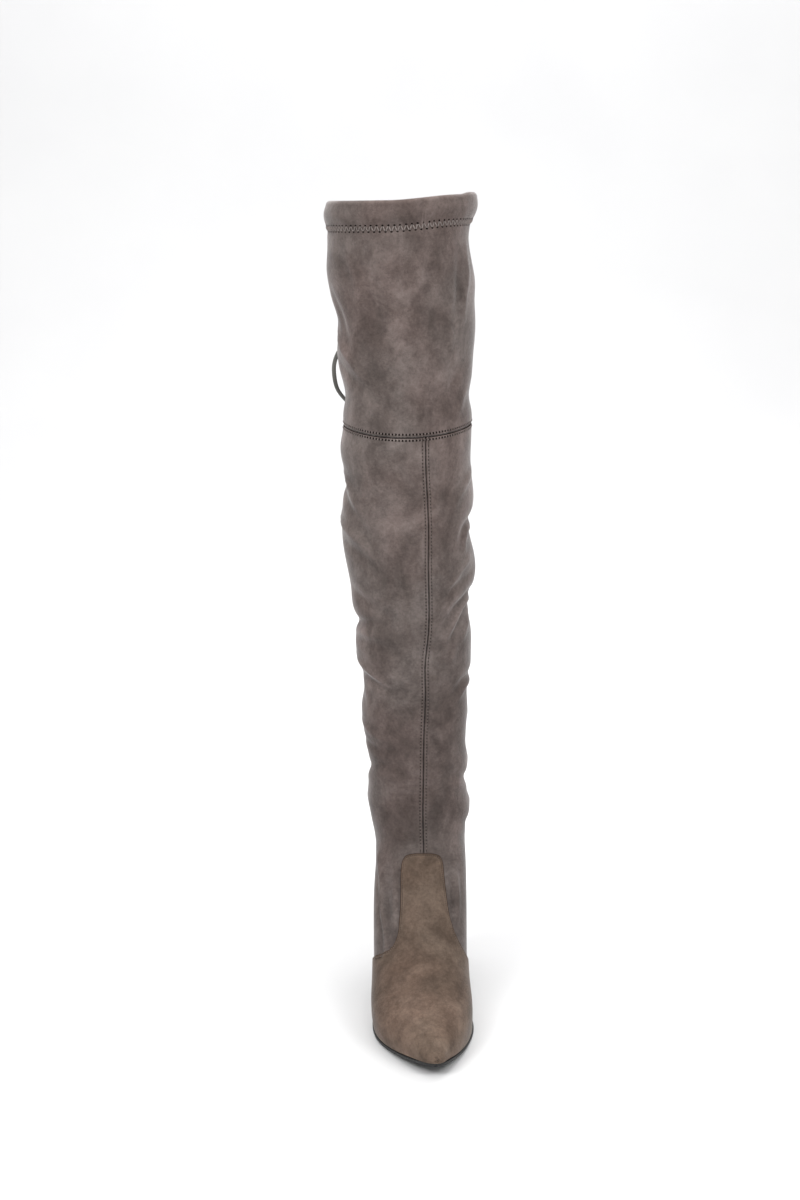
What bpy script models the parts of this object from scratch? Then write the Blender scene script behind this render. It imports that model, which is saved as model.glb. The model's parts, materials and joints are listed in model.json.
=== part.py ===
"""Right thigh-high boot in grey suede with a brown nubuck vamp, on a covered block heel.

Metres, +Z up, toe towards -Y, medial side (towards the other foot) on +X. The origin is the
centre of the heel tip's floor face. The boot stands on the heel tip and the forefoot.

The upper is lofted from flat sections. Each section runs from a lower point, on the sole or
on the back of the leg, to a front point on the instep or the shin, and it is symmetric about
neither side: a right foot has its own lateral and medial widths.
"""

import math

import bmesh
import bpy
import numpy as np
from mathutils import Vector

# ---- driving sizes -------------------------------------------------------------------------
BOOT_HEIGHT = 0.645  # floor to the top of the hem
KNEE_SEAM_Z = 0.466  # joint between the leg and the thigh panel
TOE_Y = -0.202  # tip of the outsole
SEAT_BACK_Y = 0.029  # rear end of the heel seat
TREAD_FRONT_Y = -0.140  # the forefoot is flat on the floor between these two
TREAD_BACK_Y = -0.112
BREAST_Y = -0.028  # front face of the heel, at the seat
TOE_SPRING = 0.0080
BREAST_RISE = 0.0575  # underside of the sole at the heel breast
SEAT_BACK_RISE = 0.0820  # and at the rear end of the seat
SEAT_SLOPE = 0.62  # rise over run of the seat at the breast
OUTSOLE_T = 0.0033
INSOLE_T = 0.0020
WALL_T = 0.0016  # suede and its lining
VAMP_T = 0.0012
VAMP_LIFT = 0.0012  # clear of the upper under it
VAMP_FOOT = 0.965  # how far across the foot it reaches, short of the sole
GAP = 0.0003  # between neighbouring pieces
FEATHER_INSET = 0.0012  # the upper meets the sole this far inside its edge
HEEL_TIP_T = 0.0055
HEEL_TIP_HALF_W = 0.0170
HEEL_TIP_HALF_L = 0.0115
HEEL_TIP_HOLLOW = 0.0045  # how far the heel tip's front edge curves in
SEAM_RISE = 0.0045  # how much higher the knee seam is at the sides than at the front
HEM_DEPTH = 0.0215  # folded drawstring channel
CHANNEL_GAP = 0.0026  # clear space inside the fold
NOTCH_HALF_W = 0.0050  # gap in the hem at the back of the leg, at its foot
NOTCH_TOP_HALF_W = 0.0085
CORD_D = 0.0034
KNOT_R = 0.0085

WELD = 1e-5  # points this near are one
AROUND = 40  # facets round the leg, and across the foot from edge to edge
SOLE_COLUMNS = 6
TOE_ROWS = 15  # from the toe to the heel breast
SEAT_ROWS = 7  # and on to the back of the seat
LEG_ROWS = 15
VAMP_COLUMNS = 28
VAMP_ROWS = 16
VAMP_CROWD = 0.15  # crowds the columns towards the sole, where the side turns under

# Sole outline: position along the foot, then the edge on each side.
OUTLINE = (
    # y, lateral x, medial x
    (TOE_Y, 0.0092, 0.0092),
    (-0.1990, 0.0000, 0.0152),
    (-0.1880, -0.0118, 0.0216),
    (-0.1680, -0.0264, 0.0300),
    (-0.1500, -0.0358, 0.0350),
    (-0.1300, -0.0408, 0.0380),
    (-0.1120, -0.0412, 0.0366),
    (-0.0920, -0.0380, 0.0318),
    (-0.0720, -0.0332, 0.0264),
    (-0.0520, -0.0292, 0.0234),
    (-0.0320, -0.0268, 0.0234),
    (-0.0120, -0.0260, 0.0250),
    (0.0080, -0.0240, 0.0240),
    (0.0210, -0.0168, 0.0168),
    (SEAT_BACK_Y, 0.0, 0.0),
)

# Sections of the last and leg. The lower point of a section with a share of 1 or less is on
# the sole, at that share of its length from toe to heel; above, it is on the back of the leg.
SECTIONS = (
    # share, back y, back z, front y, front z, lateral x, medial x, ridge x, widest at
    (0.00, None, None, -0.2024, 0.0165, 0.0092, 0.0092, 0.0092, 0.50),
    (0.05, None, None, -0.2010, 0.0208, 0.0016, 0.0132, 0.0078, 0.44),
    (0.10, None, None, -0.1955, 0.0255, -0.0036, 0.0160, 0.0066, 0.38),
    (0.20, None, None, -0.1775, 0.0342, -0.0180, 0.0250, 0.0044, 0.34),
    (0.30, None, None, -0.1525, 0.0430, -0.0346, 0.0342, 0.0015, 0.32),
    (0.40, None, None, -0.1245, 0.0545, -0.0415, 0.0366, -0.0010, 0.32),
    (0.50, None, None, -0.1015, 0.0705, -0.0414, 0.0348, -0.0010, 0.38),
    (0.60, None, None, -0.0840, 0.0905, -0.0418, 0.0350, -0.0005, 0.48),
    (0.70, None, None, -0.0722, 0.1105, -0.0413, 0.0352, -0.0002, 0.56),
    (0.80, None, None, -0.0655, 0.1265, -0.0400, 0.0352, -0.0002, 0.58),
    (0.90, None, None, -0.0622, 0.1375, -0.0398, 0.0353, -0.0005, 0.56),
    (1.00, None, None, -0.0605, 0.1465, -0.0400, 0.0354, -0.0008, 0.54),
    (1.10, 0.0318, 0.1020, -0.0594, 0.1580, -0.0418, 0.0360, -0.0012, 0.52),
    (1.22, 0.0318, 0.1200, -0.0590, 0.1720, -0.0432, 0.0364, -0.0018, 0.50),
    (1.36, 0.0268, 0.1450, -0.0592, 0.1900, -0.0448, 0.0366, -0.0024, 0.50),
    (1.50, 0.0225, 0.1720, -0.0598, 0.2080, -0.0462, 0.0366, -0.0028, 0.50),
    (1.66, 0.0222, 0.2020, -0.0606, 0.2290, -0.0480, 0.0371, -0.0035, 0.50),
    (1.82, 0.0280, 0.2380, -0.0614, 0.2560, -0.0500, 0.0380, -0.0044, 0.50),
    (2.00, 0.0385, 0.2800, -0.0622, 0.2880, -0.0530, 0.0396, -0.0055, 0.50),
    (2.20, 0.0480, 0.3250, -0.0630, 0.3270, -0.0568, 0.0408, -0.0066, 0.50),
    (2.40, 0.0525, 0.3700, -0.0634, 0.3700, -0.0612, 0.0424, -0.0078, 0.50),
    (2.60, 0.0515, 0.4200, -0.0630, 0.4200, -0.0624, 0.0420, -0.0086, 0.50),
    (2.78, 0.0490, 0.4660, -0.0626, 0.4660, -0.0612, 0.0416, -0.0090, 0.50),
    (2.92, 0.0505, 0.5020, -0.0628, 0.5020, -0.0614, 0.0420, -0.0094, 0.50),
    (3.10, 0.0560, 0.5480, -0.0640, 0.5480, -0.0652, 0.0446, -0.0102, 0.50),
    (3.30, 0.0605, 0.6000, -0.0655, 0.6000, -0.0702, 0.0436, -0.0120, 0.50),
    (3.48, 0.0625, 0.6450, -0.0662, 0.6450, -0.0704, 0.0452, -0.0130, 0.50),
)
KNEE_SHARE = 2.78
TOP_SHARE = 3.48
FOOT_FULLNESS = 2.25  # exponent of the foot's section curve; 2 is an ellipse
LEG_FULLNESS = 2.04

# Rear edge of the vamp, from the middle of its tongue to the sole: how far across the foot it
# is (0 on the ridge, 1 at the sole), beside the share of the section it reaches there.
VAMP_EDGE = (
    # step, across, share
    (0.00, 0.000, 0.793),
    (0.08, 0.085, 0.791),
    (0.13, 0.132, 0.782),
    (0.18, 0.168, 0.752),
    (0.32, 0.180, 0.680),
    (0.46, 0.194, 0.600),
    (0.58, 0.228, 0.540),
    (0.67, 0.300, 0.500),
    (0.77, 0.440, 0.484),
    (0.88, 0.690, 0.502),
    (1.00, VAMP_FOOT, 0.540),
)

# Routes of the drawstring: out of both ends of the hem's channel and down the back of the leg
# to a knot, and on from there as two loose tails.
KNOT_AT = (-0.0405, 0.0535, 0.5350)
RUN_LATERAL = (
    (-0.0170, 0.0592, 0.6350),
    (-0.0160, 0.0610, 0.6354),
    (-0.0155, 0.0650, 0.6312),
    (-0.0175, 0.0671, 0.6170),
    (-0.0245, 0.0652, 0.5900),
    (-0.0335, 0.0600, 0.5620),
    (-0.0404, 0.0546, 0.5440),
)
RUN_MEDIAL = (
    (-0.0090, 0.0592, 0.6350),
    (-0.0100, 0.0610, 0.6354),
    (-0.0106, 0.0650, 0.6312),
    (-0.0104, 0.0675, 0.6160),
    (-0.0104, 0.0664, 0.5900),
    (-0.0118, 0.0638, 0.5600),
    (-0.0165, 0.0608, 0.5320),
    (-0.0245, 0.0578, 0.5130),
    (-0.0335, 0.0552, 0.5085),
    (-0.0388, 0.0539, 0.5165),
    (-0.0403, 0.0535, 0.5262),
)
TAIL_LATERAL = (
    (-0.0466, 0.0502, 0.5359),
    (-0.0560, 0.0420, 0.5345),
    (-0.0640, 0.0335, 0.5270),
    (-0.0684, 0.0250, 0.5176),
    (-0.0689, 0.0180, 0.5094),
    (-0.0682, 0.0165, 0.5030),
    (-0.0667, 0.0190, 0.4963),
    (-0.0629, 0.0245, 0.4891),
    (-0.0590, 0.0300, 0.4835),
)
TAIL_MEDIAL = (
    (-0.0453, 0.0510, 0.5284),
    (-0.0505, 0.0484, 0.5130),
    (-0.0505, 0.0472, 0.4960),
    (-0.0460, 0.0484, 0.4800),
)


# ---- smooth curves through tables ----------------------------------------------------------
def smooth(knots, values, at):
    """A natural cubic spline through (knots, values), read at the given places."""
    knots = np.asarray(knots, float)
    values = np.asarray(values, float)
    step = np.diff(knots)
    slope = np.diff(values) / step
    count = len(knots)
    system = np.eye(count)
    right = np.zeros(count)
    for i in range(1, count - 1):
        system[i, i - 1 : i + 2] = step[i - 1], 2 * (step[i - 1] + step[i]), step[i]
        right[i] = 6 * (slope[i] - slope[i - 1])
    bend = np.linalg.solve(system, right)
    at = np.clip(np.asarray(at, float), knots[0], knots[-1])
    i = np.clip(np.searchsorted(knots, at) - 1, 0, count - 2)
    past = at - knots[i]
    left = knots[i + 1] - at
    return (
        (bend[i] * left**3 + bend[i + 1] * past**3) / (6 * step[i])
        + (values[i] / step[i] - bend[i] * step[i] / 6) * left
        + (values[i + 1] / step[i] - bend[i + 1] * step[i] / 6) * past
    )


def share_of(y):
    """Share of the sole's length at y, spaced closer at toe and heel, where it turns."""
    along = (np.asarray(y, float) - TOE_Y) / (SEAT_BACK_Y - TOE_Y)
    return np.arccos(1 - 2 * np.clip(along, 0, 1)) / math.pi


BREAST_SHARE = float(share_of(BREAST_Y))
FRONT_SHARES = tuple(float(share) for share in np.linspace(0.02, BREAST_SHARE, TOE_ROWS))
SEAT_SHARES = tuple(float(share) for share in np.linspace(BREAST_SHARE, 1, SEAT_ROWS))
FOOT_SHARES = FRONT_SHARES + SEAT_SHARES[1:]


def sole_y(share):
    along = (1 - np.cos(math.pi * np.clip(share, 0, 1))) / 2
    return TOE_Y + (SEAT_BACK_Y - TOE_Y) * along


def sole_edges(share):
    """Lateral and medial x of the sole's edge."""
    rows = np.array(OUTLINE)
    knots = share_of(rows[:, 0])
    return smooth(knots, rows[:, 1], share), smooth(knots, rows[:, 2], share)


def underside(y):
    """Height of the sole's underside: toe spring, flat tread, arch and heel seat."""
    y = np.asarray(y, float)
    toe = np.clip((TREAD_FRONT_Y - y) / (TREAD_FRONT_Y - TOE_Y), 0, None)
    run = BREAST_Y - TREAD_BACK_Y
    arch = np.clip((y - TREAD_BACK_Y) / run, 0, 1)
    rise = (3 * arch**2 - 2 * arch**3) * BREAST_RISE
    rise = rise + (arch**3 - arch**2) * SEAT_SLOPE * run
    seat = np.clip(y - BREAST_Y, 0, None)
    length = SEAT_BACK_Y - BREAST_Y
    curl = (SEAT_SLOPE * length - (SEAT_BACK_RISE - BREAST_RISE)) / length**2
    return TOE_SPRING * toe**1.7 + rise + SEAT_SLOPE * seat - curl * seat**2


def steepness(y):
    """Length of the slope over its run, to turn a thickness into a height."""
    small = 1e-4
    return np.hypot(1, (underside(y + small) - underside(y - small)) / (2 * small))


def feather_z(y):
    """Height of the joint between the sole and the upper."""
    return underside(y) + (OUTSOLE_T + GAP) * steepness(y)


# ---- the last ------------------------------------------------------------------------------
def columns_at(share):
    """The section table's columns, read at one share."""
    rows = np.array([row[3:] for row in SECTIONS])
    knots = [row[0] for row in SECTIONS]
    return [float(smooth(knots, rows[:, i], share)) for i in range(rows.shape[1])]


def lower_point(share):
    """The section's lower point (y, z) and its two edges there, as x."""
    if share <= 1:
        y = float(sole_y(share))
        lateral, medial = (float(x) for x in sole_edges(share))
        inset = min(FEATHER_INSET, (medial - lateral) / 4)
        return y, float(feather_z(y)), lateral + inset, medial - inset
    leg = [(1.0, SEAT_BACK_Y, float(feather_z(SEAT_BACK_Y)))]
    leg += [row[:3] for row in SECTIONS if row[1] is not None]
    knots = [row[0] for row in leg]
    y = float(smooth(knots, [row[1] for row in leg], share))
    z = float(smooth(knots, [row[2] for row in leg], share))
    ridge = columns_at(share)[4]
    return y, z, ridge, ridge


def section(share, across):
    """Points of the section at this share. across runs from -1, the lateral edge or the
    back of the leg, over the ridge at 0, to 1 on the medial side."""
    front_y, front_z, lateral, medial, ridge, widest = columns_at(share)
    low_y, low_z, low_lateral, low_medial = lower_point(share)
    fullness = FOOT_FULLNESS + (LEG_FULLNESS - FOOT_FULLNESS) * min(share / 1.5, 1)
    rise = SEAM_RISE * math.exp(-(((share - KNEE_SHARE) / 0.22) ** 2))
    points = []
    for place in across:
        reach = (lateral if place < 0 else medial) - ridge
        low = (low_lateral if place < 0 else low_medial) - ridge
        ratio = min(max(low / reach, 0), 0.985) if abs(reach) > 1e-6 else 0.0
        drop = widest / (1 - ratio**fullness) ** (1 / fullness)
        last = math.acos(-min((widest / drop) ** (fullness / 2), 1))
        turn = abs(place) * last
        side = math.sin(turn) ** (2 / fullness) if turn < math.pi - 1e-9 else 0.0
        up = math.copysign(abs(math.cos(turn)) ** (2 / fullness), math.cos(turn))
        height = widest + (1 - widest if up > 0 else drop) * up
        x = ridge + reach * side
        y = low_y + (front_y - low_y) * height
        z = low_z + (front_z - low_z) * height
        z += rise * math.sin(math.pi * min(abs(place), 0.5)) ** 2
        points.append((x, y, z))
    return points


# ---- meshes --------------------------------------------------------------------------------
def material(name, colour, roughness, metallic=0.0):
    made = bpy.data.materials.new(name)
    made.use_nodes = True
    shader = made.node_tree.nodes["Principled BSDF"]
    shader.inputs["Base Color"].default_value = (*colour, 1)
    shader.inputs["Roughness"].default_value = roughness
    shader.inputs["Metallic"].default_value = metallic
    return made


def add_object(name, mesh, finish):
    obj = bpy.data.objects.new(name, mesh)
    bpy.context.scene.collection.objects.link(obj)
    mesh.materials.append(finish)
    return obj


def sheet(name, rows, finish, closed_toe=False):
    """A mesh over a grid of points, its rows joined where their ends meet."""
    work = bmesh.new()
    grid = [[work.verts.new(point) for point in row] for row in rows]
    for low, high in zip(grid, grid[1:]):
        for i in range(len(low) - 1):
            work.faces.new((low[i], low[i + 1], high[i + 1], high[i]))
    if closed_toe:
        first = grid[0]
        last = len(first) - 1
        for i in range(last // 2):
            corners = (first[i + 1], first[i], first[last - i], first[last - i - 1])
            work.faces.new(tuple(dict.fromkeys(corners)))
    bmesh.ops.remove_doubles(work, verts=work.verts, dist=WELD)
    bmesh.ops.recalc_face_normals(work, faces=work.faces)
    middle = sum((vert.co for vert in work.verts), Vector()) / len(work.verts)
    outward = sum(
        face.normal.dot(face.calc_center_median() - middle) * face.calc_area()
        for face in work.faces
    )
    if outward < 0:
        bmesh.ops.reverse_faces(work, faces=work.faces)
    mesh = bpy.data.meshes.new(name)
    work.to_mesh(mesh)
    work.free()
    mesh.shade_smooth()
    return add_object(name, mesh, finish)


def thicken(obj, thickness, offset):
    """A wall from the sheet: offset -1 is inside it, 1 is outside."""
    solidify = obj.modifiers.new("wall", "SOLIDIFY")
    solidify.thickness = thickness
    solidify.offset = offset
    return obj


def grow(obj, distance):
    """Moves the sheet out along its normals."""
    normals = [vert.normal.copy() for vert in obj.data.vertices]
    for vert, normal in zip(obj.data.vertices, normals):
        vert.co += normal * distance
    return obj


def sole_plate(name, first, last, inset, lift, thickness, finish):
    """A plate that follows the underside between two shares of the sole's length."""
    rows = []
    inner = [share for share in FOOT_SHARES if first + 0.01 < share < last - 0.01]
    for share in [first, *inner, last]:
        y = float(sole_y(share))
        lateral, medial = (float(x) for x in sole_edges(share))
        trim = min(inset, (medial - lateral) * 0.45)
        z = float(underside(y) + lift * steepness(y))
        spread = np.linspace(lateral + trim, medial - trim, SOLE_COLUMNS + 1)
        rows.append([(float(x), y, z) for x in spread])
    obj = sheet(name, rows, finish)
    if obj.data.polygons[len(obj.data.polygons) // 2].normal.z > 0:
        obj.data.flip_normals()
    return thicken(obj, thickness, -1)


# ---- sole, insole and heel -----------------------------------------------------------------
def make_outsole(finish):
    last = float(share_of(BREAST_Y + 2 * GAP))
    return sole_plate("outsole", FRONT_SHARES[0], last, 0.0, 0.0, OUTSOLE_T, finish)


def make_insole(finish):
    inset = FEATHER_INSET + WALL_T + 4 * GAP
    lift = OUTSOLE_T + 2 * GAP
    return sole_plate("insole", 0.11, 0.92, inset, lift, INSOLE_T, finish)


def seat_ring():
    """The heel's upper edge: the sole's outline behind the breast, lateral side first."""
    shares = np.array(SEAT_SHARES)
    lateral, medial = sole_edges(shares)
    ys = sole_y(shares)
    side = [(float(x), float(y)) for x, y in zip(lateral, ys)]
    back = [(float(x), float(y)) for x, y in zip(medial, ys)]
    front = [(x, BREAST_Y) for x in np.linspace(back[0][0], side[0][0], 7)[1:-1]]
    return side + back[-2::-1] + [(float(x), y) for x, y in front]


def tip_ring():
    """The heel tip's edge, with as many points as the seat's and in the same order."""
    arc = 2 * SEAT_ROWS - 1
    ring = []
    for i in range(arc):
        turn = math.pi * i / (arc - 1)
        x = -HEEL_TIP_HALF_W * math.copysign(abs(math.cos(turn)) ** 0.62, math.cos(turn))
        y = -HEEL_TIP_HALF_L + 2 * HEEL_TIP_HALF_L * math.sin(turn) ** 0.80
        ring.append((x, y))
    for x in np.linspace(HEEL_TIP_HALF_W, -HEEL_TIP_HALF_W, 7)[1:-1]:
        hollow = HEEL_TIP_HOLLOW * (1 - (x / HEEL_TIP_HALF_W) ** 2)
        ring.append((float(x), -HEEL_TIP_HALF_L + hollow))
    return ring


def tube_mesh(name, rings, finish):
    """A closed solid through rings of equal count, with a flat face at each end."""
    work = bmesh.new()
    loops = [[work.verts.new(point) for point in ring] for ring in rings]
    for low, high in zip(loops, loops[1:]):
        for i in range(len(low)):
            j = (i + 1) % len(low)
            work.faces.new((low[i], low[j], high[j], high[i]))
    work.faces.new(loops[0])
    work.faces.new(loops[-1])
    bmesh.ops.recalc_face_normals(work, faces=work.faces)
    mesh = bpy.data.meshes.new(name)
    work.to_mesh(mesh)
    work.free()
    mesh.shade_smooth()
    mesh.set_sharp_from_angle(angle=math.radians(40))
    return add_object(name, mesh, finish)


def make_heel(finish):
    """The block between the heel tip and the seat, narrowing in a slow curve."""
    seat = seat_ring()
    tip = tip_ring()
    rings = []
    for part in np.linspace(0, 1, 8):
        blend = part**1.25
        ring = []
        for (tip_x, tip_y), (seat_x, seat_y) in zip(tip, seat):
            top = float(feather_z(seat_y)) - GAP
            x = tip_x + (seat_x - tip_x) * blend
            y = tip_y + (seat_y - tip_y) * blend
            z = HEEL_TIP_T + GAP + (top - HEEL_TIP_T - GAP) * part
            ring.append((x, y, z))
        rings.append(ring)
    return tube_mesh("heel_block", rings, finish)


def make_heel_tip(finish):
    rings = [[(x, y, z) for x, y in tip_ring()] for z in (0.0, HEEL_TIP_T)]
    return tube_mesh("heel_top_piece", rings, finish)


# ---- upper, vamp and thigh panel -----------------------------------------------------------
def leg_rows(first, last, count):
    across = np.linspace(-1, 1, AROUND + 1)
    return [section(float(share), across) for share in np.linspace(first, last, count)]


def make_upper(finish):
    across = np.linspace(-1, 1, AROUND + 1)
    shares = [*FOOT_SHARES, *np.linspace(1.08, KNEE_SHARE, LEG_ROWS)]
    rows = [section(float(share), across) for share in shares]
    obj = sheet("upper", rows, finish, closed_toe=True)
    return thicken(obj, WALL_T, -1)


def make_vamp(finish):
    """The toe and instep panel, laid over the upper."""
    edge = np.array(VAMP_EDGE)
    steps = np.linspace(0, 1, VAMP_COLUMNS // 2 + 1)
    steps = steps + VAMP_CROWD * np.sin(math.pi * steps)
    across = smooth(edge[:, 0], edge[:, 1], steps)
    share = smooth(edge[:, 0], edge[:, 2], steps)
    sides = np.concatenate([-steps[:0:-1], steps]) * VAMP_FOOT
    ends = np.concatenate([-across[:0:-1], across])
    shares = np.concatenate([share[:0:-1], share])
    rows = []
    for along in 0.025 + 0.975 * np.linspace(0, 1, VAMP_ROWS) ** 1.25:
        row = []
        for start, end, reach in zip(sides, ends, shares):
            place = end + (start - end) * (1 - along) ** 2
            row.append(section(float(reach * along), [float(place)])[0])
        rows.append(row)
    obj = sheet("vamp", rows, finish, closed_toe=True)
    return thicken(grow(obj, VAMP_LIFT), VAMP_T, 1)


def make_thigh_panel(finish):
    """The panel above the knee seam. Its top folds inwards and down, round the channel."""
    seam = GAP / (BOOT_HEIGHT - KNEE_SEAM_Z) * (TOP_SHARE - KNEE_SHARE)
    fold_in = 2 * WALL_T + CHANNEL_GAP
    top = BOOT_HEIGHT - fold_in / 2
    top_share = TOP_SHARE - (fold_in / 2) / (BOOT_HEIGHT - KNEE_SEAM_Z) * (TOP_SHARE - KNEE_SHARE)
    rows = [np.array(row) for row in leg_rows(KNEE_SHARE + seam, top_share, 7)]
    rim = rows[-1]
    centre = rim.mean(axis=0)
    inward = centre - rim
    inward[:, 2] = 0
    inward /= np.linalg.norm(inward, axis=1, keepdims=True)
    for turn in np.radians((60, 120, 180)):
        moved = rim + inward * fold_in / 2 * (1 - math.cos(turn))
        moved[:, 2] = top + fold_in / 2 * math.sin(turn)
        rows.append(moved)
    folded = rows[-1]
    for down, pull in ((0.6, 0.0), (1.0, 0.85)):
        moved = folded - inward * pull * CHANNEL_GAP
        moved[:, 2] = top - (HEM_DEPTH - fold_in / 2) * down
        rows.append(moved)
    obj = sheet("thigh_panel", [[tuple(p) for p in row] for row in rows], finish)
    thicken(obj, WALL_T, -1)
    cut_notch(obj, rim)
    return obj


def cut_notch(obj, rim):
    """A wedge through the hem at the back, which leaves both ends of its channel open."""
    back = rim[np.argmax(rim[:, 1])]
    low = BOOT_HEIGHT - HEM_DEPTH
    outline = (
        (-NOTCH_HALF_W * 0.6, low),
        (0.0, low - 0.0015),
        (NOTCH_HALF_W * 0.6, low),
        (NOTCH_HALF_W, low + 0.0030),
        (NOTCH_TOP_HALF_W, BOOT_HEIGHT + 0.01),
        (-NOTCH_TOP_HALF_W, BOOT_HEIGHT + 0.01),
        (-NOTCH_HALF_W, low + 0.0030),
    )
    rings = []
    for y in (back[1] - 0.02, back[1] + 0.02):
        rings.append([(back[0] + x, float(y), z) for x, z in outline])
    cutter = tube_mesh("notch_cutter", rings, obj.data.materials[0])
    cutter.hide_render = True
    cutter.display_type = "WIRE"
    notch = obj.modifiers.new("notch", "BOOLEAN")
    notch.operation = "DIFFERENCE"
    notch.solver = "MANIFOLD"
    notch.object = cutter


# ---- drawstring ----------------------------------------------------------------------------
def make_cord(name, route, finish):
    """A round tube on a smooth curve through the route's points."""
    points = np.array(route)
    length = np.concatenate([[0], np.cumsum(np.linalg.norm(np.diff(points, axis=0), axis=1))])
    count = max(8, round(length[-1] / (2.4 * CORD_D)))
    places = np.linspace(0, length[-1], count)
    line = np.column_stack([smooth(length, points[:, i], places) for i in range(3)])
    curve = bpy.data.curves.new(name, "CURVE")
    curve.dimensions = "3D"
    curve.bevel_depth = CORD_D / 2
    curve.bevel_resolution = 2
    curve.use_fill_caps = True
    spline = curve.splines.new("POLY")
    spline.points.add(len(line) - 1)
    for point, place in zip(spline.points, line):
        point.co = (*place, 1)
    return add_object(name, curve, finish)


def make_knot(finish):
    """An overhand knot's outer shape: a rounded lump, longer than wide."""
    work = bmesh.new()
    bmesh.ops.create_uvsphere(work, u_segments=14, v_segments=9, radius=KNOT_R)
    bmesh.ops.scale(work, vec=(0.85, 0.62, 1.0), verts=work.verts)
    mesh = bpy.data.meshes.new("drawstring_knot")
    work.to_mesh(mesh)
    work.free()
    mesh.shade_smooth()
    obj = add_object("drawstring_knot", mesh, finish)
    obj.location = KNOT_AT
    return obj


def build():
    for obj in list(bpy.data.objects):
        bpy.data.objects.remove(obj)
    suede = material("grey_suede", (0.150, 0.120, 0.110), 0.95)
    nubuck = material("brown_nubuck", (0.175, 0.125, 0.096), 0.90)
    rubber = material("black_rubber", (0.030, 0.029, 0.029), 0.60)
    lining = material("insole_lining", (0.160, 0.130, 0.110), 0.80)
    lace = material("grey_lace", (0.100, 0.098, 0.088), 0.75)
    make_outsole(rubber)
    make_heel_tip(rubber)
    make_heel(suede)
    make_insole(lining)
    make_upper(suede)
    make_vamp(nubuck)
    make_thigh_panel(suede)
    make_cord("drawstring_run_lateral", RUN_LATERAL, lace)
    make_cord("drawstring_run_medial", RUN_MEDIAL, lace)
    make_knot(lace)
    make_cord("drawstring_tail_lateral", TAIL_LATERAL, lace)
    make_cord("drawstring_tail_medial", TAIL_MEDIAL, lace)


build()
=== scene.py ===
"""Right thigh-high boot: suede leg with its folds, nubuck vamp, covered heel and drawstring.

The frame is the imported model: metres, +Z up, toe towards -Y, medial side on +X, and the origin
at the middle of the heel tip's floor face. Every surface is lofted from the same sections as
the frame, then creased, seamed and stitched.
"""

import json
import math

import bmesh
import bpy
import numpy as np
from mathutils import Matrix, Vector
from mathutils.bvhtree import BVHTree

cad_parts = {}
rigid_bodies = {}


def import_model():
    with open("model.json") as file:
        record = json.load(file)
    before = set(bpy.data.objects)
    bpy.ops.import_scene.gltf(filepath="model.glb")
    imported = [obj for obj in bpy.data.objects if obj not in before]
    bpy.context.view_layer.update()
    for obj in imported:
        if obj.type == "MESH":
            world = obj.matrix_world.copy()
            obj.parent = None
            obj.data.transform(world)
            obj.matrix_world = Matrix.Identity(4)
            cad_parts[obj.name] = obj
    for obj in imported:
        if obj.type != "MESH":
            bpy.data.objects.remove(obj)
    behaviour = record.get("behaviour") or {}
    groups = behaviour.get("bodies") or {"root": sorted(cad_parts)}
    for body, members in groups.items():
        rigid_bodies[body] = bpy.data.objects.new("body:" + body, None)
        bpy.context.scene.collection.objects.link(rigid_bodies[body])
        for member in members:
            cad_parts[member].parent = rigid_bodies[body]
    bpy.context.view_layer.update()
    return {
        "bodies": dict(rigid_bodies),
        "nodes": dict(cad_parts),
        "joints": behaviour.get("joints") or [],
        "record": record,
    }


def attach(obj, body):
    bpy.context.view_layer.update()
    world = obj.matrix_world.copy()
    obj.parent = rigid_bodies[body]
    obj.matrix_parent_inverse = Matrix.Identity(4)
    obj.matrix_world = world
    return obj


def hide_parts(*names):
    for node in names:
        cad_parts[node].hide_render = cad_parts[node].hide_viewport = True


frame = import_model()

# ---- sizes shared with the frame -----------------------------------------------------------
BOOT_HEIGHT = 0.645
KNEE_SEAM_Z = 0.466
TOE_Y = -0.202
SEAT_BACK_Y = 0.029
TREAD_FRONT_Y = -0.140
TREAD_BACK_Y = -0.112
BREAST_Y = -0.028
TOE_SPRING = 0.0080
BREAST_RISE = 0.0575
SEAT_BACK_RISE = 0.0820
SEAT_SLOPE = 0.62
OUTSOLE_T = 0.0033
WALL_T = 0.0016
GAP = 0.0003
FEATHER_INSET = 0.0012
HEEL_TIP_T = 0.0055
HEEL_TIP_HALF_W = 0.0170
HEEL_TIP_HALF_L = 0.0115
HEEL_TIP_HOLLOW = 0.0045
HEM_DEPTH = 0.0215
SEAM_RISE = 0.0045
CORD_W = 0.0034
KNEE_SHARE = 2.78
TOP_SHARE = 3.48
FOOT_FULLNESS = 2.25
LEG_FULLNESS = 2.04
TUCK_LIMIT = 0.985  # a section's lower point stays inside this part of its widest reach

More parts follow.
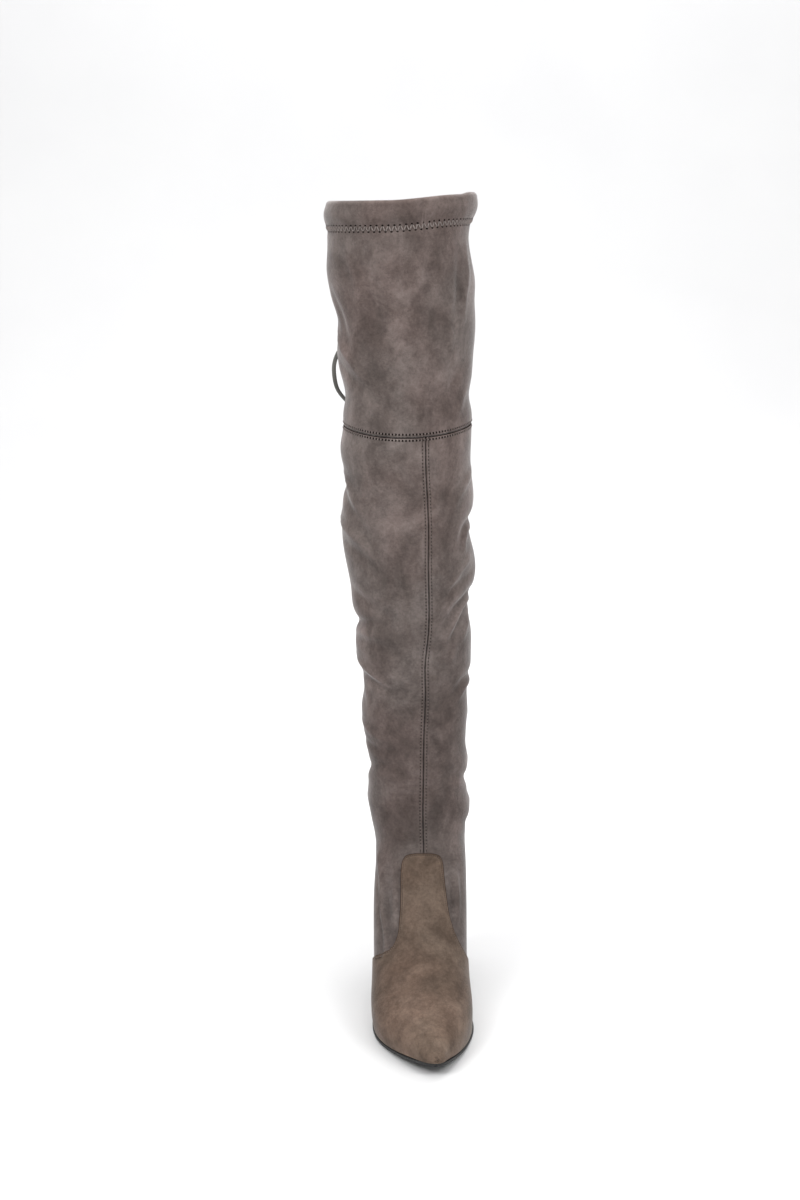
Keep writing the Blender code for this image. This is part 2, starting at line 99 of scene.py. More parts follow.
OUTLINE = (
    # y, lateral x, medial x
    (TOE_Y, 0.0092, 0.0092),
    (-0.1990, 0.0000, 0.0152),
    (-0.1880, -0.0118, 0.0216),
    (-0.1680, -0.0264, 0.0300),
    (-0.1500, -0.0358, 0.0350),
    (-0.1300, -0.0408, 0.0380),
    (-0.1120, -0.0412, 0.0366),
    (-0.0920, -0.0380, 0.0318),
    (-0.0720, -0.0332, 0.0264),
    (-0.0520, -0.0292, 0.0234),
    (-0.0320, -0.0268, 0.0234),
    (-0.0120, -0.0260, 0.0250),
    (0.0080, -0.0240, 0.0240),
    (0.0210, -0.0168, 0.0168),
    (SEAT_BACK_Y, 0.0, 0.0),
)
SECTIONS = (
    # share, back y, back z, front y, front z, lateral x, medial x, ridge x, widest at
    (0.00, None, None, -0.2024, 0.0165, 0.0092, 0.0092, 0.0092, 0.50),
    (0.05, None, None, -0.2010, 0.0208, 0.0016, 0.0132, 0.0078, 0.44),
    (0.10, None, None, -0.1955, 0.0255, -0.0036, 0.0160, 0.0066, 0.38),
    (0.20, None, None, -0.1775, 0.0342, -0.0180, 0.0250, 0.0044, 0.34),
    (0.30, None, None, -0.1525, 0.0430, -0.0346, 0.0342, 0.0015, 0.32),
    (0.40, None, None, -0.1245, 0.0545, -0.0415, 0.0366, -0.0010, 0.32),
    (0.50, None, None, -0.1015, 0.0705, -0.0414, 0.0348, -0.0010, 0.38),
    (0.60, None, None, -0.0840, 0.0905, -0.0418, 0.0350, -0.0005, 0.48),
    (0.70, None, None, -0.0722, 0.1105, -0.0413, 0.0352, -0.0002, 0.56),
    (0.80, None, None, -0.0655, 0.1265, -0.0400, 0.0352, -0.0002, 0.58),
    (0.90, None, None, -0.0622, 0.1375, -0.0398, 0.0353, -0.0005, 0.56),
    (1.00, None, None, -0.0605, 0.1465, -0.0400, 0.0354, -0.0008, 0.54),
    (1.10, 0.0318, 0.1020, -0.0594, 0.1580, -0.0418, 0.0360, -0.0012, 0.52),
    (1.22, 0.0318, 0.1200, -0.0590, 0.1720, -0.0432, 0.0364, -0.0018, 0.50),
    (1.36, 0.0268, 0.1450, -0.0592, 0.1900, -0.0448, 0.0366, -0.0024, 0.50),
    (1.50, 0.0225, 0.1720, -0.0598, 0.2080, -0.0462, 0.0366, -0.0028, 0.50),
    (1.66, 0.0222, 0.2020, -0.0606, 0.2290, -0.0480, 0.0371, -0.0035, 0.50),
    (1.82, 0.0280, 0.2380, -0.0614, 0.2560, -0.0500, 0.0380, -0.0044, 0.50),
    (2.00, 0.0385, 0.2800, -0.0622, 0.2880, -0.0530, 0.0396, -0.0055, 0.50),
    (2.20, 0.0480, 0.3250, -0.0630, 0.3270, -0.0568, 0.0408, -0.0066, 0.50),
    (2.40, 0.0525, 0.3700, -0.0634, 0.3700, -0.0612, 0.0424, -0.0078, 0.50),
    (2.60, 0.0515, 0.4200, -0.0630, 0.4200, -0.0624, 0.0420, -0.0086, 0.50),
    (2.78, 0.0490, 0.4660, -0.0626, 0.4660, -0.0612, 0.0416, -0.0090, 0.50),
    (2.92, 0.0505, 0.5020, -0.0628, 0.5020, -0.0614, 0.0420, -0.0094, 0.50),
    (3.10, 0.0560, 0.5480, -0.0640, 0.5480, -0.0652, 0.0446, -0.0102, 0.50),
    (3.30, 0.0605, 0.6000, -0.0655, 0.6000, -0.0702, 0.0436, -0.0120, 0.50),
    (3.48, 0.0625, 0.6450, -0.0662, 0.6450, -0.0704, 0.0452, -0.0130, 0.50),
)
# Rear edge of the vamp, from the middle of its tongue to the sole: on each side how far across
# the foot it is and the share of the section it reaches, then the point of the ridge facing it.
VAMP_FOOT_ACROSS = 0.985
VAMP_FOOT_SHARE = 0.552
VAMP_FOOT_RIDGE = 0.358
VAMP_EDGE = (
    # step, lateral across, lateral share, medial across, medial share, ridge share
    (0.00, 0.000, 0.793, 0.000, 0.793, 0.745),
    (0.06, 0.078, 0.792, 0.086, 0.791, 0.738),
    (0.10, 0.122, 0.785, 0.134, 0.784, 0.728),
    (0.14, 0.152, 0.770, 0.166, 0.768, 0.712),
    (0.19, 0.168, 0.742, 0.182, 0.740, 0.690),
    (0.26, 0.172, 0.700, 0.189, 0.695, 0.655),
    (0.34, 0.171, 0.650, 0.200, 0.650, 0.612),
    (0.43, 0.177, 0.596, 0.220, 0.602, 0.563),
    (0.51, 0.196, 0.550, 0.256, 0.564, 0.522),
    (0.58, 0.228, 0.508, 0.312, 0.535, 0.487),
    (0.64, 0.280, 0.485, 0.376, 0.517, 0.460),
    (0.70, 0.350, 0.476, 0.460, 0.506, 0.436),
    (0.78, 0.480, 0.488, 0.580, 0.506, 0.410),
    (0.88, 0.700, 0.522, 0.740, 0.526, 0.384),
    (1.00, VAMP_FOOT_ACROSS, VAMP_FOOT_SHARE, VAMP_FOOT_ACROSS, VAMP_FOOT_SHARE, VAMP_FOOT_RIDGE),
)
KNOT_AT = (-0.0405, 0.0535, 0.5350)
RUN_LATERAL = (
    (-0.0170, 0.0592, 0.6350),
    (-0.0160, 0.0610, 0.6354),
    (-0.0155, 0.0650, 0.6312),
    (-0.0175, 0.0671, 0.6170),
    (-0.0245, 0.0652, 0.5900),
    (-0.0335, 0.0600, 0.5620),
    (-0.0404, 0.0546, 0.5440),
)
RUN_MEDIAL = (
    (-0.0090, 0.0592, 0.6350),
    (-0.0100, 0.0610, 0.6354),
    (-0.0106, 0.0650, 0.6312),
    (-0.0104, 0.0675, 0.6160),
    (-0.0104, 0.0664, 0.5900),
    (-0.0118, 0.0638, 0.5600),
    (-0.0165, 0.0608, 0.5320),
    (-0.0245, 0.0578, 0.5130),
    (-0.0335, 0.0552, 0.5085),
    (-0.0388, 0.0539, 0.5165),
    (-0.0403, 0.0535, 0.5262),
)
TAIL_LATERAL = (
    (-0.0466, 0.0502, 0.5359),
    (-0.0560, 0.0420, 0.5345),
    (-0.0640, 0.0335, 0.5270),
    (-0.0684, 0.0250, 0.5176),
    (-0.0689, 0.0180, 0.5094),
    (-0.0682, 0.0165, 0.5030),
    (-0.0667, 0.0190, 0.4963),
    (-0.0629, 0.0245, 0.4891),
    (-0.0590, 0.0300, 0.4835),
)
TAIL_MEDIAL = (
    (-0.0453, 0.0510, 0.5284),
    (-0.0505, 0.0484, 0.5130),
    (-0.0505, 0.0472, 0.4960),
    (-0.0460, 0.0484, 0.4800),
)

# ---- camera --------------------------------------------------------------------------------
LENS_MM = 51.0
CAMERA_AT = (0.00644, -1.36981, 0.645)
CAMERA_PITCH = 13.24
CAMERA_TURN = 1.0
CAMERA_ROLL = -0.8

# ---- folds ---------------------------------------------------------------------------------
# Swell of the leg's two sides beyond the sections, by height. Most rows stand at the even steps
# where a measuring script compared the photo's silhouette with the sections. Under half of the
# values there are the ones that it printed, and the others were moved by hand.
SIDE_SWELL = (
    # z, lateral mm, medial mm
    (0.100, 0.0, 0.0),
    (0.118, 0.4, -0.6),
    (0.128, 0.4, -0.6),
    (0.140, 1.5, 1.8),
    (0.154, 2.6, 1.9),
    (0.169, 1.0, -1.4),
    (0.183, -1.0, 0.3),
    (0.197, -1.4, 0.2),
    (0.211, 0.6, -1.0),
    (0.225, 0.5, -0.6),
    (0.239, 0.6, -0.3),
    (0.253, -2.6, -1.0),
    (0.267, -1.8, 1.2),
    (0.281, 0.2, 1.3),
    (0.294, 0.4, 1.2),
    (0.308, -2.8, -0.7),
    (0.321, -0.3, -3.4),
    (0.335, -0.4, 0.2),
    (0.348, 0.0, 2.9),
    (0.362, 1.2, 1.8),
    (0.375, 2.0, -1.5),
    (0.388, 1.8, -3.0),
    (0.402, 0.8, 0.4),
    (0.415, -0.8, 1.3),
    (0.428, -2.4, 0.1),
    (0.441, 0.5, -0.6),
    (0.454, 1.9, 0.0),
    (0.467, 0.0, 0.6),
    (0.480, -0.3, 0.6),
    (0.492, -2.2, -1.4),
    (0.505, -0.8, 0.4),
    (0.518, 1.9, 0.5),
    (0.531, 2.0, 0.6),
    (0.543, -1.4, 1.0),
    (0.556, -2.0, 0.8),
    (0.568, 0.2, 0.6),
    (0.581, 1.6, 1.4),
    (0.593, 2.0, -0.2),
    (0.605, 0.6, -2.4),
    (0.615, 0.0, -2.8),
    (0.624, 0.2, -1.2),
    (0.634, 0.8, 1.2),
    (0.645, -0.4, 1.4),
)
# Ridges (+) and troughs (-) on the leg: height and half-width in millimetres, then the line
# each follows as degrees round from the front (+ medial, 180 at the back) and millimetres up.
# Most of those in front and at the sides start from places picked by eye on the photo, which a
# measuring script turned into these units. The others are set one by one.
FOLDS = (
    # hem
    (-2.1, 4.2, ((-12, 627), (14, 627.5), (40, 630))),
    (1.2, 4.0, ((-60, 633), (-40, 633.5), (-18, 634))),
    (1.0, 3.0, ((20, 635.5), (40, 636.5), (58, 637.5))),
    # thigh
    (-1.0, 10.0, ((-22, 582), (-20, 548))),
    (1.0, 10.0, ((-42, 556), (-36, 540))),
    (0.8, 12.0, ((4, 566), (6, 536))),
    (-1.6, 5.0, ((-76, 578), (-66, 563), (-61, 546), (-55, 536))),
    (1.0, 4.5, ((-42, 597), (-38, 581), (-38, 565))),
    (-1.5, 5.0, ((-56, 606), (-50, 598), (-44, 588), (-42, 575))),
    (1.9, 3.8, ((-88, 548), (-63, 532), (-50, 522), (-38, 510))),
    (-1.8, 5.5, ((-88, 532), (-58, 511), (-37, 502), (-22, 494))),
    (-1.2, 7.0, ((-22, 494), (-6, 483), (9, 478))),
    (1.7, 3.6, ((37, 552), (40, 542), (38, 530))),
    (1.6, 3.8, ((68, 606), (65, 590), (58, 573), (55, 555))),
    (-2.0, 5.0, ((53, 600), (51, 586), (50, 571), (45, 553))),
    (1.2, 4.5, ((68, 499), (61, 494), (53, 485), (42, 477))),
    (-1.5, 6.0, ((62, 521), (47, 514), (42, 502), (28, 492))),
    # calf, medial
    (2.1, 3.2, ((82, 434), (62, 425), (50, 418), (44, 409))),
    (-1.5, 4.5, ((40, 428), (35, 420), (30, 408))),
    (-2.1, 4.2, ((98, 396), (81, 394), (62, 390), (54, 381))),
    (2.0, 3.0, ((96, 387), (72, 386), (63, 380), (59, 371))),
    (2.2, 3.4, ((66, 364), (50, 358), (39, 347))),
    (-2.2, 4.2, ((74, 353), (55, 347), (42, 342), (31, 333))),
    (-2.5, 4.0, ((98, 333), (72, 335), (48, 327), (31, 313))),
    (2.5, 2.8, ((96, 325), (67, 328), (50, 319), (40, 311), (33, 303))),
    (-2.1, 3.2, ((78, 323), (67, 320), (50, 310), (39, 301))),
    (1.9, 2.9, ((90, 321), (82, 316), (70, 309), (57, 300))),
    (1.5, 3.4, ((46, 295), (37, 281))),
    (-2.0, 4.5, ((98, 267), (82, 266), (60, 264), (44, 257))),
    (2.0, 3.2, ((98, 259), (86, 259), (68, 258), (54, 251))),
    # calf, lateral
    (2.2, 3.2, ((-86, 433), (-65, 423), (-58, 416), (-49, 409))),
    (-2.2, 4.5, ((-98, 425), (-71, 412), (-56, 403), (-44, 398))),
    (2.1, 3.3, ((-96, 398), (-78, 391), (-55, 385), (-39, 378), (-31, 368))),
    (-1.8, 4.0, ((-58, 395), (-50, 393), (-36, 389), (-23, 385))),
    (-2.0, 4.5, ((-80, 380), (-56, 373), (-42, 367), (-26, 357))),
    (-2.2, 5.2, ((-74, 339), (-45, 331), (-25, 326), (-8, 320))),
    (-2.2, 4.5, ((-98, 310), (-70, 311), (-40, 316), (-22, 318))),
    (2.1, 4.2, ((-92, 302), (-62, 305), (-35, 306), (-14, 304))),
    (-1.8, 5.0, ((-75, 297), (-55, 296), (-34, 296), (-12, 290), (-2, 282))),
    (2.2, 3.3, ((-98, 282), (-65, 276), (-45, 271), (-29, 265))),
    (-2.2, 4.5, ((-98, 268), (-60, 267), (-37, 263), (-18, 259))),
    (1.6, 3.8, ((-25, 274), (-12, 271), (-3, 262))),
    (1.2, 3.6, ((-76, 257), (-62, 249), (-58, 240))),
    # ankle
    (-1.8, 3.2, ((12, 229), (21, 216), (31, 207))),
    (1.7, 3.4, ((-94, 228), (-63, 223), (-45, 219), (-22, 219))),
    (-1.7, 4.5, ((-98, 213), (-70, 210), (-46, 208), (-19, 209))),
    (-1.9, 4.5, ((98, 175), (80, 178), (51, 186), (32, 187))),
    (1.3, 4.5, ((96, 165), (80, 168), (54, 177), (36, 178))),
    (-1.8, 5.0, ((98, 134), (84, 136), (51, 147), (28, 153))),
    (-1.6, 4.5, ((-98, 187), (-76, 188), (-48, 195), (-26, 198))),
    (1.3, 4.5, ((-94, 177), (-71, 180), (-45, 187), (-24, 188))),
    # quarters, beside the vamp
    (2.4, 2.3, ((-84, 116), (-76, 107), (-71, 96), (-70, 78), (-71, 54))),
    (-1.6, 2.6, ((-79, 101), (-78, 84), (-79, 56))),
    (-2.2, 3.4, ((-57, 112), (-57, 88), (-60, 66))),
    (2.0, 2.8, ((-40, 110), (-40, 94), (-43, 76))),
    (1.9, 2.8, ((58, 112), (63, 93), (66, 76))),
    (-1.9, 3.2, ((47, 112), (51, 92), (55, 78))),
    # back of the ankle, fanning forward on both sides
    (-3.0, 4.5, ((178, 128), (140, 128), (112, 130), (94, 134))),
    (-3.0, 4.5, ((-178, 128), (-140, 130), (-112, 136), (-90, 144))),
    (2.2, 5.5, ((180, 143), (140, 145), (100, 152))),
    (2.2, 5.5, ((-180, 143), (-140, 146), (-100, 157))),
    (-3.4, 4.5, ((178, 158), (140, 160), (112, 167), (94, 175))),
    (-3.4, 4.5, ((-178, 158), (-140, 162), (-112, 175), (-94, 186))),
    (2.2, 5.5, ((180, 175), (136, 180), (100, 190))),
    (2.2, 5.5, ((-180, 175), (-136, 183), (-100, 200))),
    (-3.2, 4.5, ((178, 190), (140, 194), (112, 200), (92, 206))),
    (-3.2, 4.5, ((-178, 190), (-140, 198), (-112, 208), (-96, 213))),
    (1.8, 6.0, ((180, 208), (130, 216), (98, 230))),
    (-2.4, 5.5, ((178, 226), (134, 240), (108, 256), (96, 267))),
    (-2.4, 5.5, ((-178, 226), (-134, 244), (-108, 260), (-96, 268))),
    (-2.0, 6.0, ((176, 300), (130, 312), (104, 328), (94, 333))),
    (-2.0, 6.0, ((-176, 290), (-130, 300), (-96, 310))),
    (-1.6, 7.0, ((170, 372), (126, 384), (96, 396))),
    (-1.9, 6.5, ((-172, 404), (-130, 414), (-96, 425))),
    (-1.6, 7.0, ((-172, 506), (-124, 500), (-90, 520))),
    (-1.4, 8.0, ((170, 530), (120, 522), (90, 504))),
    (-1.6, 7.0, ((160, 600), (120, 606), (92, 614))),
)
# Places picked along the photo's seam, turned into metres in the same way, three of them moved.
FRONT_SEAM = (
    # z, x
    (0.120, 0.0005),
    (0.154, -0.0003),
    (0.190, 0.0004),
    (0.233, 0.0016),
    (0.260, 0.0027),
    (0.287, 0.0030),
    (0.304, 0.0050),
    (0.322, 0.0062),
    (0.360, 0.0060),
    (0.397, 0.0064),
    (0.442, 0.0049),
    (0.466, 0.0048),
)
SEAM_STITCH_OFF = 0.0024  # stitch rows run this far each side of a seam
STITCH_PITCH = 0.0027
RIM_LIFT = 0.0038  # the top's medial side is this much higher than its lateral side
RIM_LOBE = 0.0016
SEAM_GAP = 0.0007
VAMP_STITCH_IN = 0.0016


# ---- smooth curves and the last ------------------------------------------------------------
def spline(knots, values):
    """A natural cubic spline through (knots, values), as a function."""
    knots = np.asarray(knots, float)
    values = np.asarray(values, float)
    step = np.diff(knots)
    slope = np.diff(values) / step
    count = len(knots)
    system = np.eye(count)
    right = np.zeros(count)
    for i in range(1, count - 1):
        system[i, i - 1 : i + 2] = step[i - 1], 2 * (step[i - 1] + step[i]), step[i]
        right[i] = 6 * (slope[i] - slope[i - 1])
    bend = np.linalg.solve(system, right)

    def read(at):
        at = np.clip(np.asarray(at, float), knots[0], knots[-1])
        i = np.clip(np.searchsorted(knots, at) - 1, 0, count - 2)
        past = at - knots[i]
        left = knots[i + 1] - at
        return (
            (bend[i] * left**3 + bend[i + 1] * past**3) / (6 * step[i])
            + (values[i] / step[i] - bend[i] * step[i] / 6) * left
            + (values[i + 1] / step[i] - bend[i + 1] * step[i] / 6) * past
        )

    return read


def smooth(knots, values, at):
    return spline(knots, values)(at)


def ease(value, low, high):
    part = np.clip((np.asarray(value, float) - low) / (high - low), 0, 1)
    return part * part * (3 - 2 * part)


def hump(place, height, middle, half):
    """A smooth rise of this height round the middle, or a dip where the height is negative."""
    return height * np.exp(-(((place - middle) / half) ** 2))


def unit(vectors):
    """The vectors at length 1."""
    return vectors / np.maximum(np.linalg.norm(vectors, axis=-1, keepdims=True), 1e-12)


def running_length(points):
    """How far along a line each of its points lies."""
    steps = np.linalg.norm(np.diff(points, axis=0), axis=1)
    return np.concatenate([[0], np.cumsum(steps)])


def points_along(points, length, places):
    """The points of a line at these places along it."""
    return np.column_stack([np.interp(places, length, points[:, i]) for i in range(3)])


def share_of(y):
    along = (np.asarray(y, float) - TOE_Y) / (SEAT_BACK_Y - TOE_Y)
    return np.arccos(1 - 2 * np.clip(along, 0, 1)) / math.pi


def sole_y(share):
    along = (1 - np.cos(math.pi * np.clip(share, 0, 1))) / 2
    return TOE_Y + (SEAT_BACK_Y - TOE_Y) * along


SOLE_KNOTS = share_of([row[0] for row in OUTLINE])
SOLE_LINES = [spline(SOLE_KNOTS, [row[i] for row in OUTLINE]) for i in (1, 2)]


def sole_edges(share):
    return SOLE_LINES[0](share), SOLE_LINES[1](share)


def underside(y):
    y = np.asarray(y, float)
    toe = np.clip((TREAD_FRONT_Y - y) / (TREAD_FRONT_Y - TOE_Y), 0, None)
    run = BREAST_Y - TREAD_BACK_Y
    arch = np.clip((y - TREAD_BACK_Y) / run, 0, 1)
    rise = (3 * arch**2 - 2 * arch**3) * BREAST_RISE
    rise = rise + (arch**3 - arch**2) * SEAT_SLOPE * run
    seat = np.clip(y - BREAST_Y, 0, None)
    length = SEAT_BACK_Y - BREAST_Y
    curl = (SEAT_SLOPE * length - (SEAT_BACK_RISE - BREAST_RISE)) / length**2
    return TOE_SPRING * toe**1.7 + rise + SEAT_SLOPE * seat - curl * seat**2


def steepness(y):
    small = 1e-4
    return np.hypot(1, (underside(y + small) - underside(y - small)) / (2 * small))


def feather_z(y):
    return underside(y) + (OUTSOLE_T + GAP) * steepness(y)


SECTION_KNOTS = [row[0] for row in SECTIONS]
SECTION_LINES = [spline(SECTION_KNOTS, [row[i] for row in SECTIONS]) for i in range(3, 9)]
BACK_ROWS = [(1.0, SEAT_BACK_Y, float(feather_z(SEAT_BACK_Y)))]
BACK_ROWS += [row[:3] for row in SECTIONS if row[1] is not None]
BACK_LINES = [spline([row[0] for row in BACK_ROWS], [row[i] for row in BACK_ROWS]) for i in (1, 2)]


def lower_point(share, ridge):
    if share <= 1:
        y = float(sole_y(share))
        lateral, medial = (float(x) for x in sole_edges(share))
        inset = min(FEATHER_INSET, (medial - lateral) / 4)
        return y, float(feather_z(y)), lateral + inset, medial - inset
    return float(BACK_LINES[0](share)), float(BACK_LINES[1](share)), ridge, ridge


def section(share, across):
    """Points of the section: across runs from -1, the lateral edge or the back of the leg,
    over the ridge at 0, to 1 on the medial side."""
    spot = [float(line(share)) for line in SECTION_LINES]
    front_y, front_z, lateral, medial, ridge, widest = spot
    low_y, low_z, low_lateral, low_medial = lower_point(share, ridge)
    fullness = FOOT_FULLNESS + (LEG_FULLNESS - FOOT_FULLNESS) * min(share / 1.5, 1)
    rise = SEAM_RISE * math.exp(-(((share - KNEE_SHARE) / 0.22) ** 2))
    across = np.asarray(across, float)
    points = np.zeros((len(across), 3))
    for side, edge, low in ((-1, lateral, low_lateral), (1, medial, low_medial)):
        mine = across < 0 if side < 0 else across >= 0
        reach = edge - ridge
        ratio = min(max((low - ridge) / reach, 0), TUCK_LIMIT) if abs(reach) > 1e-6 else 0.0
        drop = widest / (1 - ratio**fullness) ** (1 / fullness)
        last = math.acos(-min((widest / drop) ** (fullness / 2), 1))
        turn = np.abs(across[mine]) * last
        swing = np.abs(np.sin(turn)) ** (2 / fullness)
        up = np.sign(np.cos(turn)) * np.abs(np.cos(turn)) ** (2 / fullness)
        height = widest + np.where(up > 0, 1 - widest, drop) * up
        points[mine, 0] = ridge + reach * swing
        points[mine, 1] = low_y + (front_y - low_y) * height
        points[mine, 2] = low_z + (front_z - low_z) * height
    points[:, 2] += rise * np.sin(math.pi * np.minimum(np.abs(across), 0.5)) ** 2
    return points


def grid_normals(grid):
    """Outward unit normals of a grid of points: rows go up, columns from lateral to medial."""
    down = np.gradient(grid, axis=0)
    side = np.gradient(grid, axis=1)
    return unit(np.cross(side, down))


# ---- mesh helpers --------------------------------------------------------------------------
MERGE = 2e-5


def place(name, mesh, *finishes, slot=None):
    obj = bpy.data.objects.new(name, mesh)
    bpy.context.scene.collection.objects.link(obj)
    for finish in finishes:
        mesh.materials.append(finish)
    mesh.shade_smooth()
    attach(obj, "root")
    return obj


def mesh_from(name, points, faces):
    mesh = bpy.data.meshes.new(name)
    mesh.from_pydata([tuple(p) for p in points], [], [tuple(f) for f in faces])
    mesh.validate()
    mesh.update()
    return mesh


def grid_faces(rows, columns, wrap=False):
    faces = []
    width = columns if wrap else columns - 1
    for i in range(rows - 1):
        for j in range(width):
            k = (j + 1) % columns
            faces.append(
                (i * columns + j, i * columns + k, (i + 1) * columns + k, (i + 1) * columns + j)
            )
    return faces


def wall(obj, thickness, inner_slot=0):
    solidify = obj.modifiers.new("wall", "SOLIDIFY")
    solidify.thickness = thickness
    solidify.offset = -1.0
    solidify.material_offset = inner_slot


def closing_faces(count):
    """Faces across the first row of a grid, folded flat at the toe."""
    faces = []
    for i in range((count - 1) // 2):
        face = tuple(dict.fromkeys((i + 1, i, count - 1 - i, count - 2 - i)))
        if len(face) > 2:
            faces.append(face)
    return faces


def edit(mesh, change):
    """Opens the mesh in bmesh and runs one change on it."""
    work = bmesh.new()
    work.from_mesh(mesh)
    change(work)
    work.to_mesh(mesh)
    work.free()


def merge_ends(mesh):
    edit(mesh, lambda work: bmesh.ops.remove_doubles(work, verts=work.verts, dist=MERGE))


def face_outwards(mesh):
    edit(mesh, lambda work: bmesh.ops.recalc_face_normals(work, faces=work.faces))


def tree_of(grid):
    """A search tree over a grid of points."""
    points = [Vector(point) for point in grid.reshape(-1, 3)]
    return BVHTree.FromPolygons(points, grid_faces(*grid.shape[:2]))


def surface_of(obj):
    """A search tree over a piece's outer faces."""
    points = [vert.co.copy() for vert in obj.data.vertices]
    return BVHTree.FromPolygons(points, [tuple(face.vertices) for face in obj.data.polygons])


# ---- shader helpers ------------------------------------------------------------------------
class Nodes:
    """Builds one procedural material."""

    def __init__(self, name, roughness, **sockets):
        self.material = bpy.data.materials.new(name)
        self.material.use_nodes = True
        self.tree = self.material.node_tree
        self.shader = self.tree.nodes["Principled BSDF"]
        self.shader.inputs["Roughness"].default_value = roughness
        for socket, value in sockets.items():
            self.shader.inputs[socket.replace("_", " ")].default_value = value
        self.place = self.tree.nodes.new("ShaderNodeTexCoord").outputs["Object"]

    def link(self, out, into):
        self.tree.links.new(out, into)

    def stretched(self, scale, turn):
        node = self.tree.nodes.new("ShaderNodeMapping")
        node.inputs["Scale"].default_value = scale
        node.inputs["Rotation"].default_value = turn
        self.link(self.place, node.inputs["Vector"])
        return node.outputs["Vector"]

    def noise(self, scale, detail, rough, distortion=0.0, at=None):
        node = self.tree.nodes.new("ShaderNodeTexNoise")
        node.inputs["Scale"].default_value = scale
        node.inputs["Detail"].default_value = detail
        node.inputs["Roughness"].default_value = rough
        node.inputs["Distortion"].default_value = distortion
        self.link(at or self.place, node.inputs["Vector"])
        return node.outputs["Fac"]

    def crest(self):
        """High where the surface turns outward, as on a ridge, and low in a hollow."""
        return self.tree.nodes.new("ShaderNodeNewGeometry").outputs["Pointiness"]

    def ramp(self, value, *stops):
        node = self.tree.nodes.new("ShaderNodeValToRGB")
        ramp = node.color_ramp
        while len(ramp.elements) < len(stops):
            ramp.elements.new(0.5)
        for element, (where, colour) in zip(ramp.elements, stops):
            element.position = where
            element.color = (*colour, 1)
        self.link(value, node.inputs["Fac"])
        return node.outputs["Color"]

    def tones(self, value, colour, *stops):
        """One colour made darker and lighter: each stop is a place and a factor."""
        return self.ramp(value, *[(at, [c * factor for c in colour]) for at, factor in stops])

    def greys(self, value, *stops):
        return self.tones(value, (1, 1, 1), *stops)

    def times(self, first, second):
        return self.mix(1.0, first, second, "MULTIPLY")

    def fill(self, value, socket):
        """Sets a socket to a number, or links it."""
        if isinstance(value, (int, float)):
            socket.default_value = value
        else:
            self.link(value, socket)

    def mix(self, amount, first, second, mode="MIX"):
        node = self.tree.nodes.new("ShaderNodeMix")
        node.data_type = "RGBA"
        node.blend_type = mode
        self.fill(amount, node.inputs[0])
        self.fill(first, node.inputs[6])
        if isinstance(second, tuple):
            node.inputs[7].default_value = (*second, 1)
        else:
            self.link(second, node.inputs[7])
        return node.outputs[2]

    def maths(self, kind, first, second):
        node = self.tree.nodes.new("ShaderNodeMath")
        node.operation = kind
        self.fill(first, node.inputs[0])
        self.fill(second, node.inputs[1])
        return node.outputs[0]

    def tone_along(self, axis, low, high, stops):
        """A grey level that changes along one axis of the boot, between two places."""
        split = self.tree.nodes.new("ShaderNodeSeparateXYZ")
        self.link(self.place, split.inputs[0])
        spread = self.tree.nodes.new("ShaderNodeMapRange")
        spread.inputs["From Min"].default_value = low
        spread.inputs["From Max"].default_value = high
        self.link(split.outputs[axis], spread.inputs["Value"])
        return self.greys(spread.outputs["Result"], *stops)

    def bump(self, height, distance, strength, normal=None):
        node = self.tree.nodes.new("ShaderNodeBump")
        node.inputs["Distance"].default_value = distance
        node.inputs["Strength"].default_value = strength
        self.link(height, node.inputs["Height"])
        if normal:
            self.link(normal, node.inputs["Normal"])
        return node.outputs["Normal"]

    def finish(self, colour, normal=None, roughness=None):
        self.link(colour, self.shader.inputs["Base Color"])
        if normal:
            self.link(normal, self.shader.inputs["Normal"])
        if roughness:
            self.link(roughness, self.shader.inputs["Roughness"])
        return self.material


def napped(name, shades, patch, turn, sheen, tone):
    """Suede or nubuck: brushed patches, faint streaks where the nap lies over, and fine grain."""
    dark, middle, light = shades
    make = Nodes(name, 0.92, Sheen_Weight=sheen, Sheen_Roughness=0.34, Specular_IOR_Level=0.12)
    patches = make.noise(patch, 4.0, 0.62, 0.55, make.stretched((1.0, 1.0, 0.85), turn))
    colour = make.ramp(patches, (0.33, dark), (0.50, middle), (0.66, light))
    # times a level along the boot: for the suede this is painted shade, darker towards the foot
    colour = make.times(colour, make.tone_along(*tone))
    blots = make.noise(patch * 2.6, 3.0, 0.6, 0.3, make.stretched((1.0, 1.0, 0.8), (0.4, 0.9, 0.2)))
    colour = make.times(colour, make.greys(blots, (0.36, 0.82), (0.52, 1.0), (0.68, 1.14)))
    warmth = make.noise(16, 2.0, 0.5, 0.2, make.stretched((1.0, 1.0, 0.7), (0.9, 0.2, 0.4)))
    warmth = make.ramp(warmth, (0.40, (0.975, 1.0, 1.0)), (0.60, (1.026, 0.992, 0.988)))
    colour = make.times(colour, warmth)
    flecks = make.noise(330, 2.0, 0.6)
    colour = make.times(colour, make.greys(flecks, (0.36, 0.92), (0.64, 1.08)))
    # lighter on ridges and darker in hollows: painted highlight along the fold crests, partly standing
    # for rubbed nap, and painted shade in the hollows between folds
    crest_highlight_hollow_shade = make.greys(make.crest(), (0.46, 0.86), (0.50, 1.0), (0.54, 1.22))
    colour = make.times(colour, crest_highlight_hollow_shade)
    grain = make.noise(1500, 3.0, 0.7)
    fibres = make.noise(560, 2.0, 0.6, 0.4, make.stretched((0.8, 0.8, 1.0), (0.3, 0.2, 0.0)))
    grain_part = make.maths("MULTIPLY", grain, 0.6)
    speck = make.maths("ADD", grain_part, make.maths("MULTIPLY", fibres, 0.4))
    colour = make.times(colour, make.greys(speck, (0.34, 0.80), (0.50, 1.0), (0.66, 1.16)))
    low = make.bump(fibres, 0.00035, 0.55)
    return make.finish(colour, make.bump(grain, 0.00022, 0.55, low))


